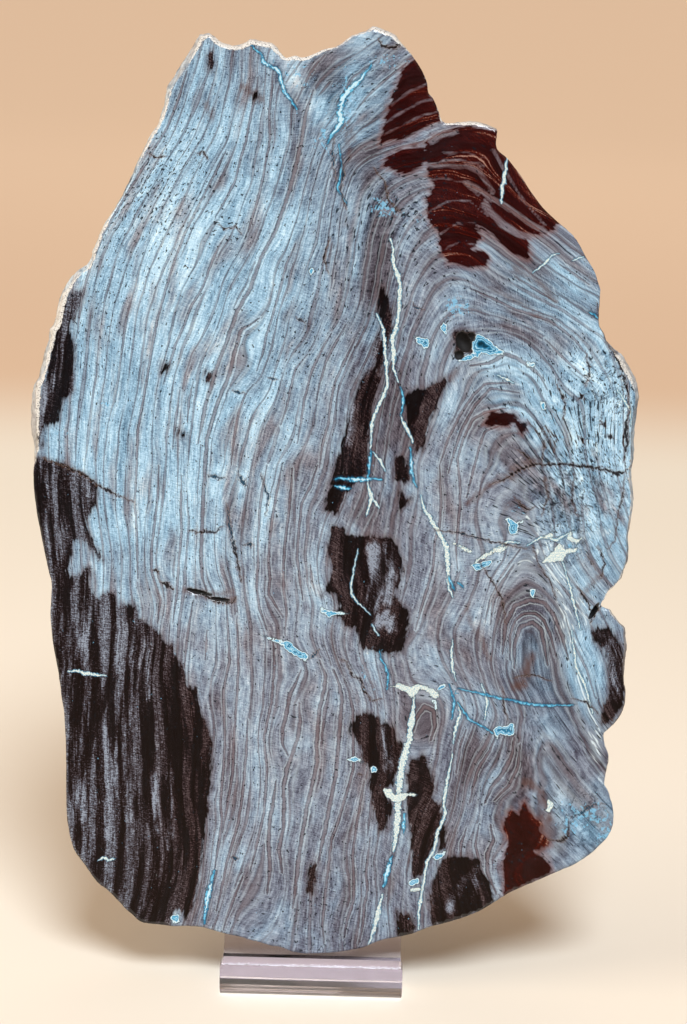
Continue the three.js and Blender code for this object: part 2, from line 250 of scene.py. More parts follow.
front_ring, back_ring = open_ring(0), open_ring(THICK)
parts = [sheet(front_ring, FRONT_CELL, 0), sheet(back_ring, BACK_CELL, THICK)]
for depth, part in zip((0, THICK), parts):
    bpy.ops.object.select_all(action="DESELECT")
    part.select_set(True)
    slab.select_set(True)
    bpy.context.view_layer.objects.active = slab
    bpy.ops.object.join()
    bpy.ops.object.mode_set(mode="EDIT")
    bpy.ops.mesh.select_mode(type="EDGE")
    bpy.ops.mesh.select_all(action="DESELECT")
    bpy.ops.mesh.select_non_manifold(extend=False, use_wire=False, use_multi_face=False, use_verts=False)
    bpy.ops.object.mode_set(mode="OBJECT")
    for edge in slab.data.edges:
        if edge.select:
            z = [slab.data.vertices[i].co.z for i in edge.vertices]
            edge.select = abs(z[0] + depth) < 0.01 and abs(z[1] + depth) < 0.01
    bpy.ops.object.mode_set(mode="EDIT")
    bpy.ops.mesh.fill(use_beauty=True)
    bpy.ops.object.mode_set(mode="OBJECT")

# Small open hollows in the face: across, up, half width, half height, depth and turn in degrees.
for u, v, wide, tall, deep, turn in (
    (43.2, 203.9, 2.5, 3.6, 3, 24), (41.6, 199.6, 1.6, 1.6, 1.6, 0), (45.3, 205.4, 1.5, 2, 1.6, -40),
    (-38, 118.2, 3.4, 0.6, 1.1, -6), (-45, 120.6, 4.5, 0.7, 1.2, -14), (86.6, 114.4, 3.2, 0.8, 3.5, 58),
):
    lean = math.radians(turn)
    rows = np.array([[math.cos(lean) / wide, math.sin(lean) / wide],
                     [-math.sin(lean) / tall, math.cos(lean) / tall]])
    middle = np.array([u - CENTRE[0], v - CENTRE[1]])
    bpy.ops.object.mode_set(mode="EDIT")
    bpy.ops.mesh.select_mode(type="FACE")
    bpy.ops.mesh.select_all(action="DESELECT")
    bpy.ops.object.mode_set(mode="OBJECT")
    centres = np.empty(len(slab.data.polygons) * 3)
    slab.data.polygons.foreach_get("center", centres)
    centres = centres.reshape(-1, 3)
    away = np.hypot(*(rows @ (centres[:, :2] - middle).T))
    slab.data.polygons.foreach_set("select", (away < 1 + 1 / tall) & (centres[:, 2] > -0.01))
    bpy.ops.object.mode_set(mode="EDIT")
    bpy.ops.mesh.subdivide(number_cuts=2)
    bpy.ops.object.mode_set(mode="OBJECT")
    co = np.empty(len(slab.data.vertices) * 3)
    slab.data.vertices.foreach_get("co", co)
    co = co.reshape(-1, 3)
    away = np.hypot(*(rows @ (co[:, :2] - middle).T))
    sunk = (away < 1) & (co[:, 2] > -0.01)
    co[sunk, 2] -= deep * np.sqrt(1 - away[sunk] ** 2)
    slab.data.vertices.foreach_set("co", co.ravel())
    slab.data.update()
bpy.ops.object.mode_set(mode="EDIT")
bpy.ops.mesh.select_all(action="SELECT")
bpy.ops.mesh.normals_make_consistent(inside=False)
bpy.ops.object.mode_set(mode="OBJECT")

# What the polished face shows, across and up in millimetres from the slab's lower middle. Growth rings run
# up the slab and arch round a knot low on the right. Each ring line is the dark late wood of one season.
RING_LINES = [
    [(-25.5, 292.5), (-26, 288), (-28, 279), (-29.5, 271), (-31, 266), (-33, 258), (-36, 252), (-40, 245)],
    [(-20.4, 295), (-21, 288), (-21.8, 280), (-21.5, 272), (-24, 258), (-26, 250), (-28.5, 242), (-30, 238)],
    [(-36, 268), (-41, 258), (-46, 248), (-50, 240), (-55, 226), (-59, 212), (-62, 195), (-65.5, 175),
     (-66.5, 150), (-66, 142), (-65.5, 125)],
    [(-36, 240), (-40, 233), (-44, 222), (-48, 215.5), (-50, 210), (-53, 203), (-57, 190)],
    [(-49, 295), (-52, 285), (-56, 275), (-62, 265), (-70, 252), (-77, 240), (-81, 230), (-84, 220),
     (-86, 205)],
    [(-27, 190), (-30, 186), (-32, 180), (-33.5, 172), (-34.5, 163)],
    [(-47, 191), (-48.5, 185), (-49, 177)],
    [(-51.5, 188), (-53, 178), (-54, 168)],
    [(-51, 160), (-51.2, 148), (-51, 140), (-52, 130), (-52.5, 120), (-54, 110)],
    [(-58.5, 163), (-59, 152), (-60, 143), (-61, 135), (-61, 128), (-60, 124), (-58, 118), (-59, 110)],
    [(-16.5, 290), (-10.5, 298.5)],
    [(-12.7, 284), (-9.5, 291), (-6.5, 296), (-3, 300)],
    [(-5.5, 286), (-1, 291)],
    [(0.5, 283), (6, 292), (14, 298)],
    [(7, 281), (12, 287), (19, 293), (24, 297)],
    [(-13, 237), (-16, 230), (-18, 222), (-20.5, 213), (-22.5, 207), (-24, 200), (-26, 194)],
    [(-9, 200), (-13, 195), (-15, 187), (-16, 182), (-18, 176)],
    [(-1, 207), (-5, 200), (-8, 193), (-10, 185), (-11, 178), (-12.5, 170)],
    [(4, 210), (0, 203), (-3, 197), (-5, 190), (-6, 184)],
    [(7, 205), (3, 197), (0, 190), (-1.5, 182), (-2, 177), (-4, 170), (-5, 162)],
    [(-22.5, 163), (-24, 155), (-25, 147), (-25.5, 138), (-25.5, 130), (-26, 122), (-25, 115), (-22.5, 108)],
    [(-17.5, 163), (-19, 155), (-20.5, 147), (-21.5, 139), (-22, 131), (-21.5, 125), (-22, 120), (-19.5, 116),
     (-17, 112)],
    [(-14, 162), (-14.5, 155), (-15.5, 145), (-16.5, 138), (-17, 130), (-17, 122), (-16, 115), (-16.5, 106)],
    [(-5.5, 163), (-8, 156), (-11, 150), (-12, 140), (-12.5, 132), (-11.5, 125), (-10.5, 118)],
    [(-8, 130), (-7.5, 124), (-6, 119)],
    [(35, 163), (35.5, 150), (35, 142), (33.5, 138), (33, 130), (31, 122), (29, 116), (27, 108)],
    [(-47, 118), (-48.5, 110), (-49.5, 102), (-50, 95)],
    [(-42.5, 108), (-43, 98)],
    [(-36, 117), (-35.5, 108), (-35, 98), (-37, 88), (-36.5, 70), (-37, 62), (-38, 50), (-37.5, 44), (-40, 28)],
    [(-32.5, 113), (-32, 95), (-32.5, 86), (-33.5, 72), (-34, 60), (-36, 48), (-37.5, 40)],
    [(-29, 78), (-29.5, 66), (-30.5, 54), (-32, 44), (-36, 30), (-38, 20), (-39.5, 14)],
    [(-30.5, 26), (-33, 20), (-36, 12), (-37, 8)],
    [(-20.5, 105), (-20, 96), (-21, 84), (-23.5, 72), (-22.5, 60), (-23.5, 47), (-26, 36), (-28, 28)],
    [(3, 92), (5, 87), (6, 82), (6.2, 76), (6.3, 62), (5, 57), (3.5, 52), (1.5, 45), (-1, 38), (-2, 30),
     (-3, 20), (-4, 10), (-3.5, 3)],
    [(10, 58), (8.5, 50), (7, 40), (6, 33), (6.5, 25), (6.5, 18), (4.5, 12), (3, 5)],
    [(12, 39), (11, 32), (10.5, 26), (11, 22), (10, 16), (9.5, 10), (8, 3)],
    [(10, 268), (20, 272), (28, 275.5), (36, 278)],
    [(30.5, 271), (36, 274), (42, 275), (50, 275.5)],
    [(32, 263), (40, 264), (47, 263), (52, 259), (56, 255)],
    [(43, 257), (50, 254), (57, 249), (64, 244), (69, 241)],
    [(45, 222), (60, 215), (72, 211), (80, 205), (86, 197)],
    [(60, 226), (74, 217)],
    [(75, 230), (85, 223)],
    [(70, 205), (78, 197), (86, 190)],
    [(95, 200), (98, 190), (98, 170)],
    [(60, 190.5), (50, 190), (46, 186), (42, 180), (38, 172), (35, 163)],
    [(62, 187), (52, 188.5), (47, 183), (43, 176), (40, 168), (38, 160)],
    [(58, 182), (50, 180.5), (46, 178), (43, 172), (41, 165), (42, 155), (41.5, 145), (40.5, 135), (41, 128)],
    [(55, 176), (50, 174), (48, 168), (46, 160), (44, 152)],
    [(58.5, 98), (58.5, 106), (60, 111), (63, 113.5), (67, 113.5), (70, 111), (72, 106), (74, 99)],
    [(50, 110), (52, 118), (55, 125), (59, 131), (62, 135)],
    [(72, 127), (78, 120), (83, 113)],
    [(77, 112), (80, 103), (84, 95), (87, 85)],
    [(62, 70), (61, 62), (58, 56), (53, 51)],
    [(54, 74), (52, 68), (48, 62), (46, 55), (45, 50)],
    [(44, 75), (42, 70), (41, 64), (40.5, 60)],
    [(44, 42), (42, 36), (42, 30)],
    [(48, 43), (47, 36), (49, 28), (51, 22), (53, 16)],
]
STRONG_LINES = [
    [(-7, 288), (-9.6, 280), (-10.9, 271), (-13, 262), (-16, 251.5), (-19.7, 241), (-24.5, 232), (-28, 222),
     (-32.5, 214), (-36, 204), (-39.5, 195), (-43, 183), (-45.5, 170)],
    [(-25, 212), (-31, 208), (-33.5, 200), (-35, 193), (-38.5, 185), (-42.5, 172), (-43.8, 152), (-44.5, 132),
     (-44, 125), (-42.5, 121)],
    [(-19.5, 58), (-20.5, 50), (-21.5, 45), (-22, 38), (-21.5, 28), (-22.5, 20)],
    [(-11.8, 84), (-11.5, 78), (-12.2, 72), (-16, 61), (-17, 56), (-16.8, 50), (-17, 42), (-18.5, 35),
     (-17.5, 27)],
    [(-11, 95), (-13, 90), (-15, 86), (-16, 80), (-17.3, 75), (-17.3, 70), (-15.5, 66)],
    [(-5, 98), (-3, 93), (-3.5, 88), (-5, 82), (-6, 70), (-5.8, 64), (-7, 58), (-9, 50), (-11.5, 35), (-13, 22),
     (-14, 15)],
    [(-0.5, 95), (1.5, 90), (2.5, 85), (2, 78), (1.5, 72), (0.5, 60), (-1.5, 50), (-3, 42), (-5.5, 30)],
    [(45, 196), (52, 197), (57, 200), (60, 199), (65, 196), (69, 192), (71, 188)],
    [(60, 95), (60, 103), (62, 109), (66, 110.5), (69, 108), (70, 102), (71, 96)],
    [(56, 100), (57, 110), (60, 116), (65, 118), (70, 117), (73, 113), (76, 106), (78, 98)],
    [(52, 110), (53, 118), (56, 124), (60, 130)],
    [(26, 74), (27.5, 79), (30, 82.5), (33, 81), (33.5, 76), (32, 71)],
    [(60, 72), (59, 66), (56, 60), (52, 55), (50, 50)],
    [(52, 43), (53, 38), (51, 33), (51, 27), (54, 20)],
]
KNOT_AXIS = [(50, 190), (66, 103), (60, 20)]

# Dark stains: carbon and iron in the quartz, near black, with ragged ends along the grain.
DARK = [
    [(-90.5, 216.5), (-88.5, 219.5), (-86, 221), (-83.6, 220.5), (-84, 218), (-86.5, 212.5), (-88, 210.5),
     (-88.7, 208), (-86.5, 203), (-86.8, 200), (-86.3, 197.5), (-87.3, 191), (-87, 188), (-88, 186),
     (-90.5, 184.8), (-91.8, 180), (-91.5, 178.5), (-93, 176.5), (-95.5, 177), (-98, 173), (-97.5, 169.5),
     (-99.5, 168.5), (-99.8, 173), (-98.8, 178), (-97.3, 188), (-96.5, 192), (-94, 203), (-92.6, 207),
     (-91.5, 211), (-91, 214)],
    [(-101, 166), (-95, 164.5), (-89.5, 163.3), (-87, 161.5), (-82.5, 159.5), (-79, 156), (-79.2, 152),
     (-79.8, 149), (-82.5, 145.5), (-83, 142), (-81.5, 140), (-80, 136.5), (-77.2, 131.3), (-80.5, 134.5),
     (-83, 136.5), (-85.5, 138.5), (-87, 138), (-87.5, 134), (-89.3, 128), (-88, 125.5), (-84.5, 126.5),
     (-83, 128.5), (-81.8, 128.3), (-81, 120), (-79.5, 118), (-78, 119.5), (-75.5, 120.5), (-73.5, 120),
     (-72, 115.5), (-70, 116.5), (-67.5, 116), (-66.3, 118), (-65.5, 112.5), (-61.5, 109.5), (-58.5, 107),
     (-57, 104.5), (-55.5, 103), (-54, 103.5), (-51.5, 97), (-50.5, 96), (-50, 92), (-49, 89.5), (-47.5, 88),
     (-46.2, 89.5), (-45.5, 83), (-43, 77), (-41.5, 74), (-41, 70), (-40.8, 64), (-42, 50), (-43.5, 38),
     (-45, 26), (-46, 20), (-47.5, 15), (-49.5, 11), (-50.5, 14), (-52, 15), (-54, 13), (-55, 9), (-60, -5),
     (-115, -5), (-115, 166)],
    [(16, 222.5), (18, 219), (19, 215), (19, 208), (17.5, 201), (16.5, 205), (15.5, 210), (14.3, 214),
     (14.5, 219)],
    [(14.5, 207), (16.5, 204), (16.5, 196), (15, 192), (13.5, 195), (13, 201)],
    [(13, 195.5), (9.5, 192), (8, 190), (7, 186), (5, 180), (3.8, 176), (1, 165), (-1, 158), (-3, 150),
     (-3.2, 148), (-1.5, 147.5), (1, 146.5), (3.5, 153), (8, 158), (11, 160), (11.5, 172), (12.5, 182),
     (14, 188), (15, 192)],
    [(-1, 143), (3, 142), (4, 139.5), (13, 139), (16, 139), (20, 138), (21, 136), (23, 130), (22, 124),
     (20, 119.5), (22, 117), (24.5, 115), (24.5, 110), (23, 101), (20, 100), (12, 101), (9, 102.5), (8, 106),
     (6.5, 109), (3.5, 109), (2, 112), (0, 114), (2, 116), (0, 120), (-2, 121), (-4, 119.5), (-3, 122),
     (-0.5, 128), (-2.3, 134), (-2, 138)],
    [(37, 192), (38, 191), (36.5, 188), (34, 184), (32.5, 180), (31, 175), (30.5, 171), (29, 168), (27, 167.5),
     (25, 174), (23.5, 182), (24, 186), (26, 188.5), (30, 188), (32, 189.5), (35, 191)],
    [(20, 163), (21, 166), (24, 165.5), (25, 161), (25, 158), (23, 157), (20, 158)],
    [(21, 156), (24, 152), (26, 152), (22, 148)],
    [(9.5, 80.5), (7, 79), (5.2, 76), (5.2, 74.5), (8, 70.5), (9, 68), (8.7, 66), (11.5, 62), (12, 56),
     (13, 47.5), (15.3, 40.5), (17.5, 42), (19.3, 50), (18, 52), (16.5, 55), (19.5, 56), (21, 62), (22.5, 69.5),
     (20.5, 71.5), (20, 74.5), (17.3, 77), (15.3, 76.5), (15, 79), (13, 79.5), (10.5, 80.5)],
    [(25, 65), (28, 64.5), (29.5, 67), (31, 64), (33.5, 56), (33, 52), (35, 49), (37, 42.5), (37.2, 35),
     (35.5, 34.5), (34.5, 42), (32.5, 35), (30, 28), (27, 25), (26, 27), (25.5, 38), (24, 50), (24, 58)],
    [(38, 33), (45, 32), (48, 32), (49, 28), (53, 21), (53.3, 18), (51, 15.2), (35, 9.5), (33, 9.5), (32, 14),
     (32.5, 22), (35, 30)],
    [(21, 14), (25, 13), (27, 9), (26, 6), (21, 6)],
    [(-8, 30), (-5.8, 30), (-6.5, 24), (-7.5, 20), (-9, 20), (-9.2, 24)],
    [(86, 107), (88, 109), (91, 108.5), (93.5, 106), (95.5, 103), (97.2, 94), (96.5, 84), (94.5, 80), (92, 77),
     (89, 76.5), (88.5, 80), (90, 84), (92, 90), (91, 98), (90, 102), (86.5, 104)],
    [(-42.5, 300), (-41, 301), (-40, 297), (-41, 294), (-42, 295)],
    [(-43, 194.5), (-41, 193.5), (-41.5, 190.5), (-43, 191)],
    [(40, 200.5), (40.2, 204), (39.8, 207.5), (43, 208.3), (46, 206.5), (46.5, 203), (46, 200.5), (43, 199.6)],
    [(-53, 175.5), (-51, 174.5), (-49.5, 172.5), (-52, 172.5)],
    [(-58, 193.5), (-55.5, 194.5), (-55, 196.5), (-57, 197)],
    [(-27, 284.5), (-25, 285.5), (-25.5, 287.5), (-27.5, 287)],
    [(-70, 16), (-67.5, 15), (-67, 17.5), (-69, 18.5)],
    [(-8, 23.5), (-6, 24), (-6.2, 27), (-8, 26.5)],
]

# Paler bands within the dark stains: line width, then the line.
PALE_BANDS = [
    (1.3, [(-90, 145), (-90.5, 132)]), (2.2, [(-96, 150), (-96, 135)]), (3.6, [(-84, 112), (-83, 95)]),
    (3, [(-72, 110), (-73, 95)]), (3.6, [(-67, 110), (-67, 97)]), (2.5, [(-62.5, 104), (-62.5, 86)]),
    (3, [(-87, 75), (-85, 45)]), (4, [(-77.5, 75), (-76, 40)]), (3.6, [(-72, 62), (-70, 45)]),
    (3, [(-60, 60), (-60, 40)]), (1.5, [(-55, 60), (-55, 35)]), (1.6, [(-96.5, 181), (-94, 192)]),
    (1.4, [(-82.5, 156), (-80.5, 152.5)]), (5, [(13, 135), (14, 126), (12.5, 116)]),
    (3.5, [(18, 136), (19, 128), (17.5, 118)]), (3.5, [(14.5, 110), (17, 113), (19, 109)]),
    (2, [(16.5, 75), (18, 62)]), (3, [(44, 26), (38, 15)]), (2.2, [(47.5, 28), (46, 18)]),
    (1.6, [(6, 183), (4.5, 170)]), (4.5, [(92, 103), (94, 95), (93, 86)]), (2, [(90, 106), (87.5, 107)]),
    (1.4, [(12.5, 197), (14.5, 206)]),
]

# Red stains: jasper, coloured by iron, with paler bands across them, and thin brown smears of rust.
RED = [
    [(23, 296), (27, 298), (28.5, 296), (30, 293.5), (32, 286.5), (34, 284), (35.5, 281), (35.5, 278),
     (32, 276.5), (25, 273), (22, 271.5), (18, 271), (15.5, 270), (15.5, 273), (17, 279), (19.5, 286),
     (21, 290), (22, 293)],
    [(16, 263), (18, 266), (22, 268), (27, 269.5), (30, 268.5), (31, 265), (29, 262), (24, 260), (20, 261),
     (17, 262.5)],
    [(30, 270), (33, 272), (38, 274.5), (45, 275.8), (54.5, 274.5), (54.5, 269), (60, 263), (66, 254),
     (75, 244), (72, 241), (68, 240), (64, 238), (65.5, 233.5), (64.5, 231.5), (59, 234), (55, 237.5),
     (51, 241), (47, 243), (49, 239), (46, 235), (50, 234), (51.5, 232.5), (50.5, 229), (44, 229.3),
     (38, 230.5), (35.5, 234),
     (35, 240), (32, 243), (30.5, 247), (31, 252), (33, 256), (31, 262)],
    [(50.5, 177), (50.8, 179.5), (53, 180.8), (57, 181), (60, 180), (61.5, 178), (64, 177), (64, 174.5),
     (62.8, 173.3), (61.8, 175), (60, 177), (57, 176.3), (54, 176), (52, 175.8)],
    [(63.5, 51), (64.5, 48), (66, 46), (68.5, 44), (68.5, 40.5), (71, 38), (72, 36.5), (70, 35.5), (68, 35.5),
     (66.5, 33.5), (70, 32.5), (71.5, 30), (72.2, 27), (70, 25.5), (66, 24), (62, 22.3), (57, 19.8), (56.5, 23),
     (56, 31), (56.8, 34), (58, 37), (57.5, 39), (56.5, 41.5), (57, 45), (59, 48.5), (60.5, 47), (61.5, 46.5),
     (62.5, 50)],
]
RED_BANDS = [
    (1.4, [(31, 263), (38, 262.5), (44, 262.5), (48, 261), (51, 257), (53, 254)]),
    (0.9, [(36, 264.5), (42, 264.5), (48, 263.5), (50, 262.5)]),
    (1.4, [(32, 270.5), (36, 272.5), (41, 274)]),
    (1.8, [(44, 257), (48, 255), (52, 252), (56, 250), (60, 247), (66, 243), (70, 241)]),
    (2.2, [(50, 250), (53, 246), (56, 243), (61, 240), (66, 239)]),
    (0.7, [(17, 277), (23, 281), (29, 284), (33, 285)]), (0.7, [(19, 283), (26, 288), (31, 290)]),
    (0.6, [(16, 273), (24, 277), (31, 280), (35, 281)]), (0.8, [(24, 271), (30, 274.5), (37, 276)]),
    (0.6, [(31, 258), (37, 258.5), (43, 257), (48, 253)]), (0.6, [(31, 247), (38, 251), (45, 251), (51, 246)]),
    (0.5, [(35, 240), (41, 243.5), (47, 243.5)]), (0.5, [(37, 235), (42, 237.5), (48, 236)]),
    (0.8, [(53, 268), (58, 259), (63, 251), (70, 243)]), (0.6, [(36, 267), (44, 267), (51, 265)]),
]
RUST = [
    (1.2, [(44.5, 116), (45, 112), (46, 109), (48.5, 106), (50, 102), (51.5, 98.5)]),
    (3, [(64, 57), (66, 56), (68.5, 54.5), (71, 49), (72, 45)]), (3, [(60, 89), (63, 90)]),
    (3.5, [(64, 94), (66, 99)]), (2, [(55, 159), (60, 159)]), (1.4, [(3, 277), (4.5, 270), (5, 265)]),
    (1.6, [(3.5, 250), (4, 243)]), (1.2, [(-1, 236), (-2.5, 228)]), (1.6, [(5, 277), (6.5, 271)]),
    (2.6, [(-30, 289), (-25, 285)]), (1.6, [(-43, 284), (-41, 279)]),
    (1.2, [(88, 126), (86, 123.5), (84, 121), (81.5, 119), (81.5, 115.5)]),
    (2.5, [(60, 228), (67, 224), (74, 218)]), (1.2, [(52, 222), (60, 218), (66, 214), (73, 210)]),
    (1.6, [(38.5, 192), (43, 197)]),
    (2, [(-50, 121), (-46, 120.5), (-42, 118.8), (-38, 117.2), (-33.5, 118.5)]),
    (1.6, [(-33.5, 121), (-39, 119.8), (-44, 121)]), (1.6, [(77, 177), (78, 169)]),
    (2, [(44, 150), (50, 155), (56, 158.7), (62, 163.5), (67, 164.5)]), (1.6, [(68, 168), (72, 171)]),
    (1.4, [(86, 168), (88, 164)]),
]

# White and blue fillings: milky quartz and blue chalcedony in old holes and in cracks that healed. Cracks
# that stayed open are dark.
WHITE = [
    [(18.5, 89.3), (21.5, 90.3), (25.5, 88.8), (27, 90), (30, 89.5), (33.5, 87.8), (35, 87.2), (34.7, 85.5),
     (33, 85), (31.5, 87), (30, 88), (28.3, 88), (27.3, 86.5), (26, 84.8), (25, 86), (23.5, 87.5), (21, 88.5)],
    [(16, 55.2), (17, 53), (19, 51), (21.5, 50.2), (24.5, 52.5), (28, 53), (26, 53.5), (22, 53.5), (20, 52.8),
     (19, 54.8)],
    [(75, 137), (76.5, 135), (80, 135), (82, 136), (80, 134), (77, 133), (76, 131), (71, 130.5), (69, 130.3),
     (71, 132.5), (73, 134.5)],
    [(52, 134.5), (54, 133.5), (56, 134), (58, 136), (55, 135.6)],
    [(70.5, 47.5), (72, 47), (73, 50), (71.5, 52)], [(69, 139), (71, 138.2), (73.5, 139.6), (71.5, 140.3)],
    [(77, 138.5), (79, 141.5), (79.6, 138), (83, 139), (81, 136.5)],
    [(45.5, 129.4), (50, 132), (54, 134), (50, 133.4)],
    [(38, 137.6), (44, 135.8), (47, 133), (43, 134.6)],
    [(25, 20.5), (29, 21), (29, 22), (25, 21.6)],
]
AGATE = [
    [(45.5, 204), (47.5, 206.5), (50, 206), (53, 203.5), (57.5, 199.8), (52, 199.6), (49, 200.3), (46, 200.3)],
    [(41, 197.5), (44, 197.6), (48.5, 199), (49, 200.2), (46, 200.2), (43, 199)],
    [(26, 206.5), (31.5, 204.8), (31.8, 203), (30, 201.5), (28, 203.5)],
    [(35, 209), (36.5, 210.8), (37.5, 210), (37.5, 206), (36, 207.5)],
    [(-9, 228.3), (-8, 229), (-6.5, 228.5), (-7.5, 226)],
    [(-24.5, 106.5), (-21.5, 105.5), (-18.5, 105), (-17, 104.3), (-14, 104.2), (-13.5, 102.5), (-11.5, 101.3),
     (-9.3, 100), (-8.2, 98.3), (-9.5, 97.5), (-12.5, 99), (-15, 100.2), (-16.5, 102), (-19, 103.5),
     (-21.5, 104.5)],
    [(-4.5, 116), (-2.5, 114.5), (2.5, 114.2), (5, 113.3), (2.5, 113), (0, 113), (-2, 111.8), (-2.8, 113),
     (-4.8, 113.8)],
    [(45, 130), (47, 127.5), (49, 128), (51, 129), (54, 131.5), (50, 131), (47, 130.3)],
    [(52.5, 75), (54.5, 76), (57, 75.8), (59, 77.5), (60, 76.5), (60, 73), (57, 72.5), (55, 73.5), (54, 71),
     (53.5, 73)],
    [(24, 24), (28, 25.5), (28.5, 24), (27, 23), (25, 22.5)],
    [(32.5, 32.5), (36, 34), (37.5, 34.3), (35.5, 31.5), (34, 31)],
    [(-54.5, 13), (-52, 13.2), (-51.5, 11), (-54, 9.5)],
    [(56.5, 145), (58, 143.5), (58, 140), (61, 140), (61.5, 143), (64, 145), (60.5, 143.9), (58.5, 145.4)],
    [(4, 65), (7, 65.8), (8.5, 65), (10.5, 63), (8, 64), (5, 64)],
    [(12, 62.5), (14.5, 62.3), (14.3, 60.5), (12, 60.5)],
    [(65, 122), (67, 121.5), (66.5, 118.5), (65.2, 119)],
    [(68, 184.5), (70, 184), (71, 181), (69, 181.5)],
    [(64, 197.5), (67, 197), (66.5, 195.5), (64.2, 195.6)],
    [(34, 88), (36, 90.5), (37.5, 89.5), (35.5, 88)],
    [(33, 85.4), (34.2, 83.5), (34.7, 81), (33.9, 81), (32.4, 84.5)],
]
WHITE_VEINS = [
    (0.9, [(18.7, 238.5), (19.5, 235), (19.7, 230), (21.5, 225), (21.9, 222), (21.2, 212), (20.5, 208),
           (19.2, 205.5), (19.8, 198), (19.5, 196), (21.2, 190.5)]),
    (0.7, [(22, 179.5), (23, 177), (24.5, 174.5), (26.3, 170.3)]),
    (0.9, [(28.7, 153), (30, 148), (31.5, 146), (34.5, 141), (37.5, 135.5), (37.9, 127), (38, 122),
           (39.5, 119)]),
    (0.6, [(14, 213.5), (16.3, 208.5), (16.7, 204), (17.3, 196), (17.6, 190), (16.8, 187), (15, 183.5),
           (12.5, 177.5), (12, 168)]),
    (0.8, [(11, 158), (11.5, 155), (12.3, 152), (11.5, 149), (10.5, 146)]),
    (0.5, [(12.5, 152), (14, 150), (15, 148.5)]),
    (0.5, [(12.5, 167.5), (14, 166), (16, 163), (17, 161)]),
    (1.6, [(26.5, 86), (26.3, 82), (25.3, 74), (24.5, 70), (22.6, 63.5), (21.7, 57), (21.2, 50), (20.8, 42),
           (20.3, 38), (19.5, 34)]),
    (1.2, [(16, 20), (15, 16), (14, 11), (12.5, 6), (11, 2.5)]),
    (0.5, [(39.5, 105), (39, 100), (39.3, 95), (40.5, 91)]),
    (0.6, [(41, 84), (42, 80), (40.5, 76), (39.5, 70)]),
    (0.6, [(39.5, 67), (38, 60), (36.3, 50), (37, 47.5), (36.5, 45), (34.5, 41), (34, 38), (33, 34), (31, 31),
           (29, 20), (28, 14), (28, 8)]),
    (0.25, [(12.5, 110), (13.3, 108), (15, 106)]),
    (0.25, [(8, 135), (7, 131), (5.5, 123), (6, 119), (9, 116), (12, 113)]),
    (0.4, [(66, 227), (70, 230), (72, 232.5), (75, 233.5)]),
    (0.4, [(79, 231), (83, 232.5)]),
    (0.9, [(57.5, 265.5), (56.8, 260), (56, 255), (55.5, 250)]),
    (0.4, [(54, 193), (60, 190.5)]), (0.4, [(94, 188.5), (98.5, 181.5), (99, 176)]),
    (0.7, [(-89, 94), (-86, 94.6), (-84, 93.6), (-80.5, 93.2), (-76, 92.6)]),
    (0.6, [(-79, 31), (-77, 32.2), (-75.5, 31.4), (-73, 31.8)]), (0.4, [(49, 90), (51, 84), (50, 78)]),
    (0.5, [(64, 136), (69, 139), (74, 138), (80, 141)]), (0.5, [(47, 131), (52, 134), (58, 137.5), (62, 137)]),
    (0.4, [(76, 131), (78, 124), (80, 116), (82, 108)]), (0.4, [(79, 108), (80.5, 96), (84, 88), (86, 80)]),
]
BLUE_VEINS = [
    (0.6, [(21.8, 189), (22.8, 187), (22.8, 183), (22.2, 179.5)]),
    (0.8, [(25.3, 169), (25.7, 161), (26.3, 158), (27.5, 155.5)]),
    (0.8, [(12.2, 168), (11.3, 160), (11, 158.5)]),
    (1.3, [(19.2, 33), (17.5, 27), (16.3, 22)]),
    (0.9, [(-28, 303), (-24.5, 300), (-23.5, 297), (-18.5, 294.5), (-17.8, 291), (-16.5, 287), (-14.5, 284.5),
           (-12.5, 281.5)]),
    (1.5, [(12.5, 296.5), (9, 292), (5, 288), (3, 285.5), (1.5, 280), (2.5, 278), (1.5, 276), (-0.5, 273.5),
           (-2.5, 270)]),
    (1.2, [(-40, 28), (-41, 24), (-42.5, 18), (-43.5, 10)]),
    (1.1, [(0, 158), (2, 158.8), (4, 158.3), (9, 158), (14, 158.5), (16, 158)]),
    (1, [(0, 156), (2, 155.5), (5.5, 155)]),
    (0.8, [(23.4, 47), (23, 40)]),
    (0.45, [(41, 88.5), (50, 86.5), (56, 85), (65, 83.3), (70, 82.8), (80, 83)]),
    (0.5, [(15, 101), (15.3, 98.5), (17, 96), (18, 92.5), (17.5, 88)]),
    (0.5, [(41, 84), (45, 78), (49, 76), (53, 73.5)]),
    (0.6, [(38, 126), (40, 121)]), (0.5, [(41, 124), (43, 122)]),
    (0.5, [(1.5, 270), (2.5, 262), (1, 255), (4, 250)]),
    (0.5, [(38, 90), (40, 84), (39, 78)]), (0.5, [(85, 214), (88, 212), (90, 213)]),
]
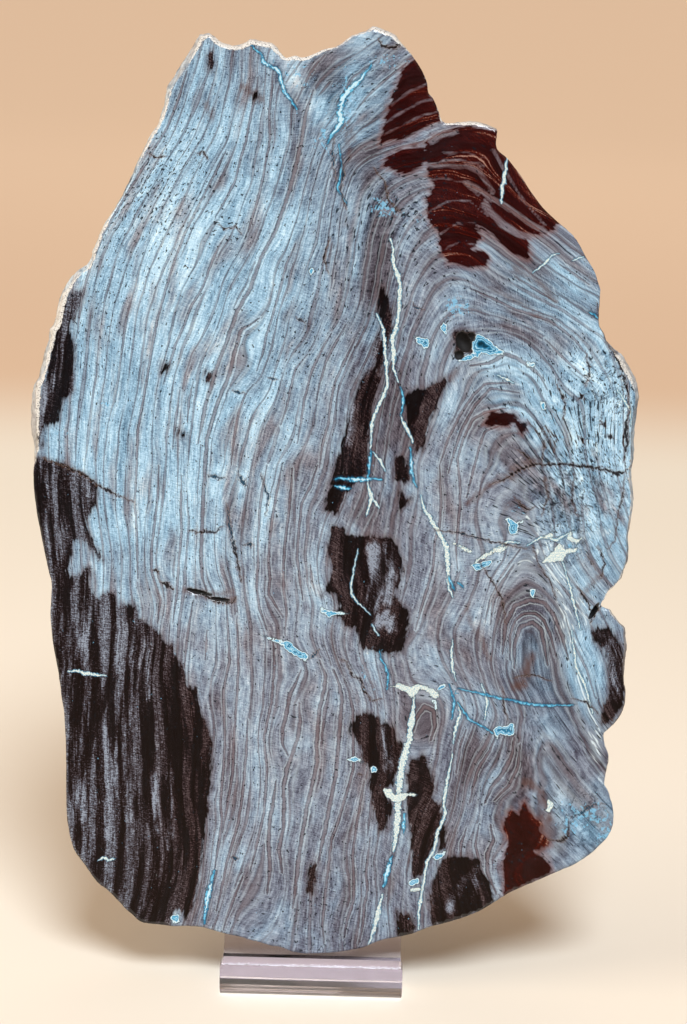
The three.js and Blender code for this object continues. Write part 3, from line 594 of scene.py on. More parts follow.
CRACKS = [
    (0.7, [(-97.5, 165.5), (-84, 160), (-79, 156.3), (-73, 153), (-67, 150.7)]),
    (0.9, [(52, 156.5), (55, 157.3), (58, 158.8), (61, 161), (64, 162.4), (67, 163.3), (70, 162.8), (75, 163.3),
           (79.5, 162.8), (84, 162.6), (86.6, 161.8), (90, 161.6), (93.7, 160), (96.5, 160.6), (100, 163.5)]),
    (1.8, [(92.5, 161), (94.5, 160), (96.5, 160.8)]), (0.5, [(66, 163.2), (64, 166), (61, 168)]),
    (0.5, [(33, 141.3), (42, 140.2), (50, 138), (57, 136.5), (64, 135)]),
    (0.7, [(0, 272), (-0.7, 268), (-0.5, 263), (0, 260), (0.5, 258)]),
    (0.9, [(14.5, 305), (16, 302.5), (19, 302), (22, 303), (24, 302)]),
    (0.7, [(2, 98), (4, 97.3), (6, 92.5), (8.5, 91.8), (10, 87.5), (12.3, 84.5), (16, 85)]),
    (0.5, [(-1, 239), (-2.5, 236), (-3.5, 232), (-2, 226.5)]),
    (0.9, [(-36, 150), (-35, 143), (-33, 134), (-31, 124)]),
    (0.8, [(78.5, 45), (83, 47.5), (87, 50), (90, 50)]),
    (0.8, [(71, 38), (76, 37.5), (78, 40), (78, 45)]),
    (0.8, [(87.5, 217), (88.5, 212), (91, 204), (95, 197), (97.5, 188.5), (98.5, 181.5)]),
    (1.3, [(98.5, 182), (97, 176), (97.5, 170), (96.3, 164)]), (1.6, [(81.4, 185), (83, 186.3)]),
    (1.6, [(88.5, 177.5), (90.5, 175.8)]), (1.4, [(81.5, 172.5), (83, 170.5)]), (1.3, [(91, 172.8), (93, 172)]),
    (0.6, [(84, 200), (85, 193), (83.5, 189)]), (0.6, [(74, 190), (77, 184), (76, 178)]),
    (0.5, [(70, 176), (74, 172), (73, 167)]), (0.5, [(80, 160), (79, 152), (81, 146)]),
    (0.5, [(70, 159), (71, 152), (69, 146)]), (0.7, [(88, 136), (90, 130), (88.5, 125)]),
    (0.5, [(60, 152), (64, 148), (67, 149)]), (0.6, [(84, 133), (87, 128)]),
    (0.7, [(26, 217), (27, 215.5), (29.5, 215)]),
    (1.3, [(89, 116), (86.5, 113.5), (85.3, 110.5)]),
    (1.2, [(-42, 159.3), (-36.5, 158.7)]), (1, [(-32, 160), (-30.5, 156.5), (-29.5, 158.7)]),
    (1.2, [(-48.5, 141), (-44, 140.5), (-40, 140.5), (-37.3, 142.5)]), (1.3, [(-60.5, 128), (-58.5, 127)]),
    (1.6, [(-58, 124), (-55, 122.5), (-53.8, 121.3)]), (1, [(-34, 187.5), (-30, 186.8)]),
    (1, [(-22, 192), (-19, 191.3)]), (1, [(-12.5, 212), (-10, 210.4)]), (1, [(-34.5, 32.3), (-32, 31.7)]),
    (1, [(-30, 136.5), (-27, 136.2)]), (1, [(-8, 98.3), (-5, 101.5)]), (1.2, [(8, 60), (9, 60)]),
    (1.2, [(-49, 121.3), (-44, 120), (-38, 117), (-34, 117), (-32.5, 119)]),
    (0.35, [(96.5, 160), (96.3, 154), (94.2, 145), (93.4, 138), (91.3, 135)]),
    (0.5, [(-62, 266.5), (-59, 265.5), (-56, 266)]), (0.6, [(-46, 267), (-43.7, 267.3), (-42, 265)]),
    (0.5, [(-39, 243), (-36, 241.5), (-33, 242.5), (-31, 240)]),
    (0.6, [(2.2, 266), (3, 260), (2, 254), (4, 248)]),
    (0.5, [(13, 262), (17, 257), (18, 251), (22, 247)]), (0.5, [(64, 178), (70, 171), (69, 163)]),
    (0.5, [(48, 130.6), (52, 125), (56, 118), (57, 110)]),
    (0.5, [(66, 136), (68, 130), (72, 124), (74, 118)]), (0.6, [(-24.5, 160), (-22, 152), (-23, 146)]),
    (0.5, [(56, 88), (56.5, 82), (58, 78)]), (0.5, [(60, 92), (66, 93), (72, 91)]),
    (0.8, [(81, 122), (84, 118), (86, 114)]), (0.6, [(79, 85), (84, 84), (88, 80)]),
    (0.5, [(-96.5, 206), (-97, 199), (-99.5, 191), (-100, 182)]),
]


def resampled(line, step):
    """The same line with a point at about every step along it."""
    line = np.array(line, float)
    run = np.concatenate([[0], np.cumsum(np.hypot(*np.diff(line, axis=0).T))])
    at = np.linspace(0, run[-1], max(2, int(round(run[-1] / step)) + 1))
    return np.stack([np.interp(at, run, line[:, 0]), np.interp(at, run, line[:, 1])], 1)


NET_CELL = 6
NET_LOW = np.array([-118.0, -16.0])
NET_SIZE = (42, 60)


def net_weights(points):
    """Cubic spline weights of the 16 net knots round each point, and their slopes across and up."""
    at = (points - NET_LOW) / NET_CELL
    base = np.clip(np.floor(at).astype(int), 1, np.array(NET_SIZE) - 3)
    f = at - base
    curve = np.stack([(1 - f) ** 3, 3 * f**3 - 6 * f**2 + 4, -3 * f**3 + 3 * f**2 + 3 * f + 1, f**3]) / 6
    slope = np.stack([-((1 - f) ** 2), 3 * f**2 - 4 * f, -3 * f**2 + 2 * f + 1, f**2]) / 2 / NET_CELL
    reach = np.arange(-1, 3)
    knots = (base[:, 0, None, None] + reach[None, :, None]) * NET_SIZE[1] + base[:, 1, None, None] + reach
    products = [np.einsum("in,jn->nij", a[:, :, 0], b[:, :, 1]).reshape(len(points), 16)
                for a, b in ((curve, curve), (slope, curve), (curve, slope))]
    return knots.reshape(len(points), 16), *products


def grain_coordinates(points):
    """How far each point lies across the growth rings and along them, in mm, so that both run smoothly
    and the first stays the same along every traced ring line."""
    rows = {"across": [], "along": []}
    axis = np.array(KNOT_AXIS, float)[::-1]
    for line in RING_LINES + STRONG_LINES:
        dots = resampled(line, 2.5)
        middle = (dots[1:] + dots[:-1]) / 2
        step = np.diff(dots, axis=0)
        normal = np.stack([step[:, 1], -step[:, 0]], 1) / np.hypot(*step.T)[:, None]
        heart = np.stack([np.interp(middle[:, 1], axis[:, 1], axis[:, 0]),
                          np.clip(middle[:, 1], axis[0, 1], axis[-1, 1])], 1)
        if ((heart - middle) * normal).sum() < 0:
            normal = -normal
        knots_0, value_0, _, _ = net_weights(dots[:-1])
        knots_1, value_1, _, _ = net_weights(dots[1:])
        knots, _, slope_x, slope_y = net_weights(middle)
        both, level = np.hstack([knots_0, knots_1]), np.hstack([-value_0, value_1])
        uphill = normal[:, :1] * slope_x + normal[:, 1:] * slope_y
        run = (step * np.stack([-normal[:, 1], normal[:, 0]], 1)).sum(1)
        none = np.zeros(len(run))
        rows["across"] += [(both, 4 * level, none), (knots, 0.7 * uphill, none + 0.7)]
        rows["along"] += [(both, level, run), (knots, uphill, none)]
    bend = [np.diff(np.eye(n), 2, axis=0) for n in NET_SIZE]
    tilt = [np.diff(np.eye(n), 1, axis=0) for n in NET_SIZE]
    stiff = np.kron(bend[0].T @ bend[0], np.eye(NET_SIZE[1]))
    stiff += np.kron(np.eye(NET_SIZE[0]), bend[1].T @ bend[1])
    stiff += 2 * np.kron(tilt[0].T @ tilt[0], tilt[1].T @ tilt[1])
    size = len(stiff)
    knots, value, _, _ = net_weights(points)
    found = []
    for name, soft in (("across", 0.01), ("along", 0.03)):
        square, side = soft * stiff + 1e-7 * np.eye(size), np.zeros(size)
        for at, weight, wanted in rows[name]:
            np.add.at(square, (at[:, :, None], at[:, None, :]), weight[:, :, None] * weight[:, None, :])
            np.add.at(side, at, weight * wanted[:, None])
        found.append((np.linalg.solve(square, side)[knots] * value).sum(1))
    return found


def patches(points, outlines, reach=4):
    """Signed distance from the edges of some outlines, positive inside."""
    field = np.full(len(points), -float(reach))
    for ring in outlines:
        ring = np.array(ring, float)
        near = ((points > ring.min(0) - reach) & (points < ring.max(0) + reach)).all(1)
        some = points[near]
        far = np.minimum(beside(some, ring, True)[0], reach)
        field[near] = np.maximum(field[near], np.where(within(some, ring), far, -far))
    return field


def bands(points, lines, reach=4):
    """Signed distance from the edges of some drawn lines of given widths, positive inside."""
    field = np.full(len(points), -float(reach))
    for width, line in lines:
        line = np.array(line, float)
        near = ((points > line.min(0) - reach) & (points < line.max(0) + reach)).all(1)
        field[near] = np.maximum(field[near], width / 2 - beside(points[near], line)[0])
    return field


def threads(points, lines, reach=4):
    """For thin lines: the signed distance from the nearest one and its half width there, which falls
    below nought past its ends and well away from it, so that a line drawn where the first is the smaller
    is finer than the net and never shows between two others."""
    side, half = np.full(len(points), float(reach)), np.full(len(points), -float(reach))
    for width, line in lines:
        line = np.array(line, float)
        near = np.flatnonzero(((points > line.min(0) - reach) & (points < line.max(0) + reach)).all(1))
        far, sign, run, past, length = beside(points[near], line)
        taper = np.clip(np.minimum(run, length - run) / min(8, length / 2.5), 0.3, 1) * width / 2
        closer = far < np.abs(side[near])
        near = near[closer]
        side[near] = (far * sign)[closer]
        half[near] = (taper - np.maximum(past, 0) - 2 * np.clip(far - taper - 1.4, 0, 2))[closer]
    return side, half


def apart(lines, count, gap=5):
    """Deals lines out to a few groups so that those in one group keep well clear of each other."""
    groups = [[] for _ in range(count)]
    for width, line in lines:
        dots = resampled(line, 2)
        room = [min([np.min(np.hypot(*(dots[:, None] - other[None]).reshape(-1, 2).T)) for _, other in g],
                    default=99) for g in groups]
        pick = next((i for i, r in enumerate(room) if r > gap), int(np.argmax(room)))
        groups[pick].append((width, dots if len(line) < 3 else np.array(line, float)))
    return groups


def glow(points, spots):
    """The sum of some soft round spots: across, up, half width, half height, strength."""
    total = np.zeros(len(points))
    for u, v, wide, tall, strength in spots:
        total += strength * np.exp(-(((points[:, 0] - u) / wide) ** 2) - ((points[:, 1] - v) / tall) ** 2)
    return total


co = np.empty(len(slab.data.vertices) * 3)
slab.data.vertices.foreach_get("co", co)
co = co.reshape(-1, 3)
depth = -co[:, 2]
edge_far = beside(co[:, :2], front_ring, True)[0]
hollowed = within(co[:, :2], front_ring) & (edge_far > 1.2) & (depth < 5)
sunk = np.where(hollowed, depth, 0)
depth = depth - sunk
# The grain runs a little aslant through the thickness, so the back shows the same rings, shifted.
face = co[:, :2] + CENTRE + np.maximum(depth - 4, 0)[:, None] * (0.21, -0.13)
across, along = grain_coordinates(face)
# Weathered, chalky outside wood: soft spots along the edge, where the natural rim is wide and white.
frost = glow(face, [
    (-102, 194, 7, 30, 1.2), (-95, 216, 9, 14, 1.3), (-82, 244, 10, 18, 1.0), (-62, 280, 12, 22, 0.9),
    (-35, 304, 22, 7, 1.0), (-12, 300, 12, 10, 1.0), (20, 306, 18, 8, 0.9), (45, 279, 14, 6, 1.0),
    (99, 197, 8, 9, 1.0), (102, 150, 7, 32, 0.6), (96, 118, 8, 8, 0.9), (89, 68, 6, 14, 0.5),
])
# Every other property is a field over the face: soft spots of strength, or the distance in mm from an edge.
fields = {
    "rim": 1.6 * frost - 0.7 - edge_far,
    "frost": frost,
    "sunk": sunk,
    "teal": glow(face, [(-30, 175, 26, 60, 1.0), (-45, 130, 12, 9, -1.0), (-6, 98, 8, 8, 1.0),
                        (26, 215, 5, 5, 1.0), (84, 48, 10, 9, 1.0), (46, 139, 16, 5, 0.5),
                        (-33, 32, 5, 5, 1.0), (0, 262, 4, 14, 0.8)]),
    "brown": glow(face, [(13, 232, 5, 18, 0.9), (18, 180, 6, 16, 0.9), (16, 150, 9, 10, 0.5),
                         (-34, 140, 4, 24, 0.5), (66, 102, 9, 13, 0.5), (50, 62, 10, 13, 0.45),
                         (30, 78, 6, 6, 0.6), (8, 148, 5, 5, 0.7), (60, 90, 6, 4, 0.5),
                         (44, 258, 12, 8, 0.5), (12, 262, 6, 12, 0.5), (72, 44, 5, 8, 0.6),
                         (56, 168, 8, 10, 0.3), (44, 105, 5, 12, 0.3), (-2, 292, 8, 8, 0.3),
                         (20, 282, 6, 9, 0.4)]),
    "ember": glow(face, [(67, 250, 7, 10, 1.0), (67, 50, 5, 7, 1.0), (60, 42, 4, 6, 0.3),
                         (46, 268, 10, 4, 0.6)]),
    "knot": glow(face, [(66, 103, 15, 20, 1.0), (50, 60, 14, 18, 0.9), (62, 132, 12, 12, 0.5),
                        (88, 60, 10, 12, 0.6), (-86, 225, 14, 30, 0.5), (40, 250, 8, 20, 0.4)]),
    "dark": patches(face, DARK),
    "pale": bands(face, PALE_BANDS),
    "red": patches(face, RED),
    "red_band": bands(face, RED_BANDS),
    "rust": bands(face, RUST),
    "white": patches(face, WHITE),
    "agate": patches(face, AGATE),
    # Where the wood is blue-grey. The broad blue over the upper left is partly painted reflection: a bluish
    # light mirrored softly in the polish.
    "cool": glow(face, [(-58, 225, 50, 78, 1.0), (-70, 160, 30, 40, 0.5), (90, 165, 20, 42, 1.0),
                        (58, 185, 16, 20, 0.5), (70, 222, 20, 14, 0.4), (80, 95, 16, 16, 0.55),
                        (8, 288, 16, 16, 0.5), (86, 44, 12, 10, 0.4)]),
    # Lighter and darker spots of the wood. The broad lift over the upper left is partly a painted highlight:
    # the same soft reflection in the polish.
    "light": glow(face, [(-60, 242, 26, 34, 0.9), (-52, 165, 34, 46, 0.6), (86, 172, 14, 32, 0.75),
                         (52, 158, 9, 24, 0.5), (-30, 100, 24, 24, 0.3), (50, 112, 9, 16, 0.3),
                         (14, 208, 9, 46, -1.0), (12, 268, 20, 22, -0.5), (78, 52, 28, 30, -0.75),
                         (3, 24, 34, 26, -0.4), (-48, 290, 10, 12, -0.4), (50, 60, 12, 18, -0.4),
                         (66, 103, 11, 16, -1.0), (62, 222, 18, 16, -0.5), (-6, 289, 10, 10, -0.9),
                         (82, 84, 12, 12, -0.5), (5, 6, 26, 16, -0.4), (-75, 200, 16, 26, -0.25),
                         (-16, 299, 3.5, 3, 2.2), (-13, 291, 3, 4, 2.0), (-8, 283, 3, 3, 1.8),
                         (-34.5, 298, 2.5, 6, -0.7), (90, 164, 10, 36, -0.4), (88, 40, 9, 9, -0.8),
                         (66, 160, 9, 12, -0.3), (-35, 225, 12, 30, -0.2)]),
    "speck": glow(face, [(-62, 255, 20, 20, 1.0), (80, 170, 20, 26, 1.1), (-12, 201, 8, 12, 0.5),
                         (-34, 241, 8, 5, 0.6), (98, 196, 5, 9, 0.9), (70, 150, 14, 14, 0.6),
                         (80, 60, 18, 20, 0.7), (-7, 11, 8, 10, 0.6), (20, 246, 16, 14, 0.9),
                         (2, 225, 8, 14, 0.6), (-80, 215, 10, 20, 0.5), (-30, 268, 24, 14, 0.2)]),
    "mottle": glow(face, [(86, 180, 16, 22, 0.9), (78, 150, 17, 14, 1.0), (97, 196, 9, 12, 1.0),
                          (62, 168, 9, 10, 0.6), (78, 134, 12, 8, 0.8), (-66, 252, 14, 18, 0.5),
                          (84, 76, 10, 14, 0.6), (82, 48, 15, 14, 1.0), (22, 246, 12, 14, 0.8),
                          (2, 268, 5, 16, 0.6), (-34, 150, 5, 14, 0.5), (94, 116, 8, 8, 0.8)]),
    "haze": bands(face, [(2.2, [(70, 132), (75, 120), (78, 108), (80, 98), (82, 90), (85, 83), (88, 76),
                                (87, 66)]),
                         (1.4, [(84, 110), (80, 122), (72, 133)]), (1.2, [(64, 146), (72, 135), (78, 128)]),
                         (1, [(60, 128), (68, 134), (75, 135)]), (1, [(75, 135), (84, 140), (92, 141)])]),
    "blue": glow(face, [(4, 285, 4, 11, 0.7), (17, 298, 8, 3, 0.6), (-4, 272, 4, 6, 0.7), (11, 92, 4, 11, 0.4),
                        (84, 47, 7, 3.5, 0.9), (91, 40, 4, 5, 0.8), (78, 42, 4, 4, 0.6), (-76, 180, 4, 7, 0.45),
                        (40, 216, 3.5, 4, 0.9), (45, 216, 3, 3, 0.4), (-92, 171, 4, 7, 0.4),
                        (16, 249, 5, 3.5, 0.95), (26, 246, 6, 3, 0.45), (73, 181, 5, 6, 0.5),
                        (78, 135, 7, 4, 0.5), (-12, 292, 7, 7, 0.5),
                        (80, 168, 10, 8, 0.3), (62, 148, 6, 5, 0.4), (-20, 300, 6, 3, 0.5)]),
}
for name, lines, count in (
    ("ring", [(0.8, line) for line in RING_LINES], 3), ("strong", [(1.3, line) for line in STRONG_LINES], 2),
    ("white_vein", WHITE_VEINS, 2), ("blue_vein", BLUE_VEINS, 2), ("crack", CRACKS, 2),
):
    for i, group in enumerate(apart(lines, count)):
        fields[f"{name}_{i}_side"], fields[f"{name}_{i}_half"] = threads(face, group)
# Every three fields share one attribute of the mesh; the first two attributes hold places in mm.
packs = [("place", (face[:, 0], face[:, 1], depth)), ("grain", (across, along, depth))]
names = list(fields)
while len(names) % 3:
    names.append(names[-1])
packs += [(f"marks_{i // 3}", [fields[n] for n in names[i:i + 3]]) for i in range(0, len(names), 3)]
for name, columns in packs:
    kept = slab.data.attributes.new(name, "FLOAT_VECTOR", "POINT")
    kept.data.foreach_set("vector", np.stack(columns, 1).astype(np.float32).ravel())

slab.data.transform(to_world)
for face in slab.data.polygons:
    face.use_smooth = True


def linear(colour):
    """An sRGB hex colour as linear red, green, blue and alpha."""
    parts = [int(colour[i:i + 2], 16) / 255 for i in (1, 3, 5)]
    return (*[c / 12.92 if c < 0.04045 else ((c + 0.055) / 1.055) ** 2.4 for c in parts], 1)


def add(tree, kind, sockets=None, **settings):
    """Adds a node and returns its outputs. sockets gives each input a value or the output it is fed by."""
    made = tree.nodes.new("ShaderNode" + kind)
    for name, value in settings.items():
        setattr(made, name, value)
    for name, value in (sockets or {}).items():
        if isinstance(value, bpy.types.NodeSocket):
            tree.links.new(value, made.inputs[name])
        else:
            made.inputs[name].default_value = value
    return made.outputs


# Polished silicified wood: quartz and chalcedony of refractive index 1.54, ground flat and polished. The
# eye sees a hard, glassy shine over fine grey-blue grain with dark ring lines, and dull, rough natural edges.
polish = bpy.data.materials.new("polished_petrified_wood")
polish.use_nodes = True
tree = polish.node_tree
shade = tree.nodes["Principled BSDF"]
place = add(tree, "Attribute", attribute_name="place")["Vector"]
grain = add(tree, "Attribute", attribute_name="grain")["Vector"]
depth_at = add(tree, "SeparateXYZ", {0: place})[2]
marks = {}
for i in range(0, len(names), 3):
    three = add(tree, "SeparateXYZ", {0: add(tree, "Attribute", attribute_name=f"marks_{i // 3}")["Vector"]})
    for j in range(3):
        marks[names[i + j]] = three[j]

# The rings wander a little over every 10 mm, and each kind of grain is as long and fine as it is in mm.
wander = add(tree, "TexNoise", {"Vector": place, "Scale": 0.1, "Detail": 1.5, "Roughness": 0.6})["Color"]
bent = add(tree, "VectorMath", {0: wander, 1: (0.9, 0, 0), 2: grain}, operation="MULTIPLY_ADD")[0]
noises = {}
for name, source, size, detail in (
    ("drift", bent, (9, 75, 14), 1), ("band", bent, (3.2, 70, 14), 1), ("gap", bent, (3.4, 24, 8), 1),
    ("streak", bent, (0.7, 12, 5), 2), ("fine", bent, (0.34, 3.6, 3), 1), ("tick", grain, (1.4, 0.42, 2), 1),
    ("cloud", place, (15, 18, 15), 3), ("tint", bent, (5, 28, 12), 2), ("cell", bent, (2.9, 30, 9), 2),
    ("fray", bent, (0.8, 4.5, 3), 2), ("grit", place, (0.42, 0.5, 0.5), 1), ("pit", bent, (0.55, 1.3, 1), 1),
    ("blotch", place, (3, 3.6, 3), 2), ("crumb", place, (1.5, 1.9, 1.7), 3),
):
    scaled = add(tree, "VectorMath", {0: source, 1: [1 / s for s in size]}, operation="MULTIPLY")[0]
    noises[name] = add(tree, "TexNoise", {"Vector": scaled, "Scale": 1, "Detail": detail, "Roughness": 0.58})[0]

# Where the wood broke up before it turned to stone, angular crumbs of 2 to 4 mm lie between dark seams.
tremor = add(tree, "TexNoise", {"Vector": place, "Scale": 0.8, "Detail": 2})["Color"]
shaken = add(tree, "VectorMath", {0: wander, 1: (7, 7, 7), 2: place}, operation="MULTIPLY_ADD")[0]
shaken = add(tree, "VectorMath", {0: tremor, 1: (4, 4, 4), 2: shaken}, operation="MULTIPLY_ADD")[0]
shaken = add(tree, "VectorMath", {0: shaken, 1: (0.42, 0.3, 0.3)}, operation="MULTIPLY")[0]
piece = add(tree, "TexVoronoi", {"Vector": shaken, "Scale": 1}, feature="F1")["Color"]
piece = add(tree, "SeparateXYZ", {0: piece})[0]
seam = add(tree, "TexVoronoi", {"Vector": shaken, "Scale": 1}, feature="DISTANCE_TO_EDGE")["Distance"]
broken = add(tree, "Math", {0: noises["blotch"], 1: 1.6, 2: marks["mottle"]}, operation="MULTIPLY_ADD")[0]
broken = add(tree, "MapRange", {0: broken, 1: 0.95, 2: 1.55})[0]

# Lightness of the plain wood: broad clouds, ring bands, fibres and the fine rays that cross them, and over the
# upper left a painted highlight, the light mirrored softly in the polish.
tone = add(tree, "Math", {0: marks["light"], 1: 0.16, 2: 0.5}, operation="MULTIPLY_ADD")[0]
tone = add(tree, "Math", {0: marks["brown"], 1: -0.13, 2: tone}, operation="MULTIPLY_ADD")[0]
for name, share in (("band", 0.45), ("streak", 0.5), ("fine", 0.62), ("tick", 0.5), ("cloud", 0.45),
                    ("grit", 0.4)):
    middle = add(tree, "Math", {0: noises[name], 1: 0.5}, operation="SUBTRACT")[0]
    tone = add(tree, "Math", {0: middle, 1: share, 2: tone}, operation="MULTIPLY_ADD")[0]
middle = add(tree, "Math", {0: piece, 1: 0.55}, operation="SUBTRACT")[0]
middle = add(tree, "Math", {0: middle, 1: broken}, operation="MULTIPLY")[0]
tone = add(tree, "Math", {0: middle, 1: 0.3, 2: tone}, operation="MULTIPLY_ADD")[0]
ramps = {}
for name, stops in (
    ("cool", ((0, "#203343"), (0.25, "#52728b"), (0.5, "#8aafca"), (0.72, "#b4d7ed"), (1, "#e8fbff"))),
    ("warm", ((0, "#221f28"), (0.25, "#505364"), (0.5, "#7d8798"), (0.72, "#a2aebd"), (1, "#dce8f0"))),
    ("brown", ((0, "#1e171b"), (0.25, "#443c43"), (0.5, "#69636c"), (0.72, "#8e8a92"), (1, "#c6c3c8"))),
):
    ramp = add(tree, "ValToRGB", {0: tone})[0]
    knots = ramp.node.color_ramp.elements
    while len(knots) < len(stops):
        knots.new(0.5)
    for knot, (at, colour) in zip(knots, stops):
        knot.position, knot.color = at, linear(colour)
    ramps[name] = ramp
# Blue-grey against violet-grey: the stone's own tone, and over the upper left a painted reflection of a bluish
# light in the polish.
cool = add(tree, "Math", {0: noises["cloud"], 1: 1.2, 2: marks["cool"]}, operation="MULTIPLY_ADD")[0]
cool = add(tree, "Math", {0: noises["band"], 1: 0.8, 2: cool}, operation="MULTIPLY_ADD")[0]
cool = add(tree, "MapRange", {0: cool, 1: 0.95, 2: 1.6})[0]
colour = add(tree, "Mix", {0: cool, 6: ramps["warm"], 7: ramps["cool"]}, data_type="RGBA")[2]
browned = add(tree, "Math", {0: marks["brown"], 1: 0.3, 2: noises["tint"]}, operation="MULTIPLY_ADD")[0]
browned = add(tree, "MapRange", {0: browned, 1: 0.5, 2: 0.68, 4: 0.85})[0]
colour = add(tree, "Mix", {0: browned, 6: colour, 7: ramps["brown"]}, data_type="RGBA")[2]

# Distances from the nearest traced line of each kind, in mm, less its half width.
sway = add(tree, "Math", {0: noises["blotch"], 1: 0.6, 2: -0.3}, operation="MULTIPLY_ADD")[0]
swell = add(tree, "Math", {0: noises["crumb"], 1: 1.3, 2: 0.2}, operation="MULTIPLY_ADD")[0]
wobble = add(tree, "Math", {0: noises["crumb"], 1: 1.5, 2: -0.75}, operation="MULTIPLY_ADD")[0]
lumpy = add(tree, "Math", {0: noises["pit"], 1: 2.6, 2: -0.25}, operation="MULTIPLY_ADD")[0]
jog = add(tree, "Math", {0: noises["crumb"], 1: 2.4, 2: -1.2}, operation="MULTIPLY_ADD")[0]
ragged = add(tree, "Math", {0: noises["pit"], 1: 4.4, 2: -1.45}, operation="MULTIPLY_ADD")[0]
near = {}
for name, shift, width in (("ring", sway, swell), ("strong", sway, swell), ("white_vein", wobble, lumpy),
                           ("blue_vein", wobble, lumpy), ("crack", jog, ragged)):
    for i in (0, 1, 2) if name == "ring" else (0, 1):
        moved = add(tree, "Math", {0: marks[f"{name}_{i}_side"], 1: shift}, operation="ADD")[0]
        far = add(tree, "Math", {0: moved}, operation="ABSOLUTE")[0]
        half = add(tree, "Math", {0: marks[f"{name}_{i}_half"], 1: width}, operation="MULTIPLY")[0]
        far = add(tree, "Math", {0: far, 1: half}, operation="SUBTRACT")[0]
        near[name] = far if not i else add(tree, "Math", {0: near[name], 1: far}, operation="MINIMUM")[0]

# Between the traced lines the rings repeat every 3.1 mm, and every 1.3 mm where growth was slow. They keep
# clear of the traced lines, and each fades in and out along its length.
drifted = add(tree, "SeparateXYZ", {0: bent})[0]
drifted = add(tree, "Math", {0: noises["drift"], 1: 6, 2: drifted}, operation="MULTIPLY_ADD")[0]
room = add(tree, "Math", {0: near["ring"], 1: near["strong"]}, operation="MINIMUM")[0]
room = add(tree, "MapRange", {0: room, 1: 0.5, 2: 1.2, 3: 0.6, 4: 0})[0]
for name, half_gap, least, slope in (("growth", 1.55, -0.42, 1.15), ("slow_growth", 0.65, -0.62, 1.1)):
    far = add(tree, "Math", {0: drifted, 1: half_gap}, operation="PINGPONG")[0]
    far = add(tree, "Math", {0: noises["gap"], 1: -slope, 2: far}, operation="MULTIPLY_ADD")[0]
    far = add(tree, "Math", {0: far, 1: -least}, operation="ADD")[0]
    near[name] = add(tree, "Math", {0: far, 1: room}, operation="ADD")[0]
slow = add(tree, "Math", {0: marks["knot"], 1: -0.62, 2: near["slow_growth"]}, operation="MULTIPLY_ADD")[0]
near["slow_growth"] = add(tree, "Math", {0: slow, 1: 0.25}, operation="ADD")[0]

# The ends of stains are frayed along the grain, and the edges of fillings are slightly uneven.
fray = add(tree, "Math", {0: noises["fray"], 1: 4, 2: -1.9}, operation="MULTIPLY_ADD")[0]
chip = add(tree, "Math", {0: noises["crumb"], 1: 1.8, 2: -0.9}, operation="MULTIPLY_ADD")[0]
nick = add(tree, "Math", {0: noises["fray"], 1: 1.6, 2: -0.9}, operation="MULTIPLY_ADD")[0]
for name, uneven in (("dark", fray), ("pale", fray), ("red", fray), ("red_band", nick), ("rust", fray),
                     ("haze", fray), ("white", chip), ("agate", chip), ("rim", chip)):
    near[name] = add(tree, "Math", {0: marks[name], 1: uneven}, operation="ADD")[0]
whole = add(tree, "Math", {0: broken, 1: -0.4, 2: 0.4}, operation="MULTIPLY_ADD")[0]
near["seam"] = add(tree, "Math", {0: seam, 1: whole}, operation="ADD")[0]
shut = add(tree, "MapRange", {0: noises["blotch"], 1: 0.42, 2: 0.6, 4: 0.2})[0]
near["seam"] = add(tree, "Math", {0: near["seam"], 1: shut}, operation="ADD")[0]

# A ring line is a thin band of late wood, brown, with a dark edge on each side and a pale line beyond it.
edges = 0
for name, kind, at, reach, most, tint in (
    # what the mask reads, whether it fills inside or follows an edge, where, how widely, how much, colour
    ("slow_growth", "edge", 0, 0.17, 0.7, "#454047"),
    ("growth", "fill", 0, 0.1, 0.45, "#756b70"),
    ("growth", "edge", 0.4, 0.24, 0.34, "#c6d8e2"),
    ("growth", "edge", 0, 0.2, 0.75, "#443b42"),
    ("ring", "fill", 0, 0.12, 0.55, "#76686c"),
    ("ring", "edge", 0.45, 0.26, 0.42, "#cddde4"),
    ("ring", "edge", 0, 0.22, 0.9, "#3a3037"),
    ("strong", "fill", 0, 0.12, 0.6, "#6e5f62"),
    ("strong", "edge", 0.5, 0.3, 0.45, "#d3e0e6"),
    ("strong", "edge", 0, 0.26, 0.9, "#332a2f"),
    ("rust", "fill", -0.3, 1.0, 0.6, "#5b3e33"),
    ("haze", "fill", 0, 2.0, 0.35, "#b9cedb"),
):
    off = near[name]
    if name in ("rust", "haze"):
        off = add(tree, "Math", {0: off, 1: -1}, operation="MULTIPLY")[0]
    if at:
        off = add(tree, "Math", {0: off, 1: at}, operation="SUBTRACT")[0]
    if kind == "edge":
        off = add(tree, "Math", {0: off}, operation="ABSOLUTE")[0]
    cover = add(tree, "MapRange", {0: off, 1: reach, 2: 0 if kind == "edge" else -reach, 4: most})[0]
    if kind == "edge":
        patchy = add(tree, "MapRange", {0: noises["streak"], 1: 0.3, 2: 0.6, 3: 1, 4: 0.45})[0]
        cover = add(tree, "Math", {0: cover, 1: patchy}, operation="MULTIPLY")[0]
    colour = add(tree, "Mix", {0: cover, 6: colour, 7: linear(tint)}, data_type="RGBA")[2]
    if kind == "edge" and not at:
        edges = add(tree, "Math", {0: edges, 1: cover}, operation="MAXIMUM")[0]

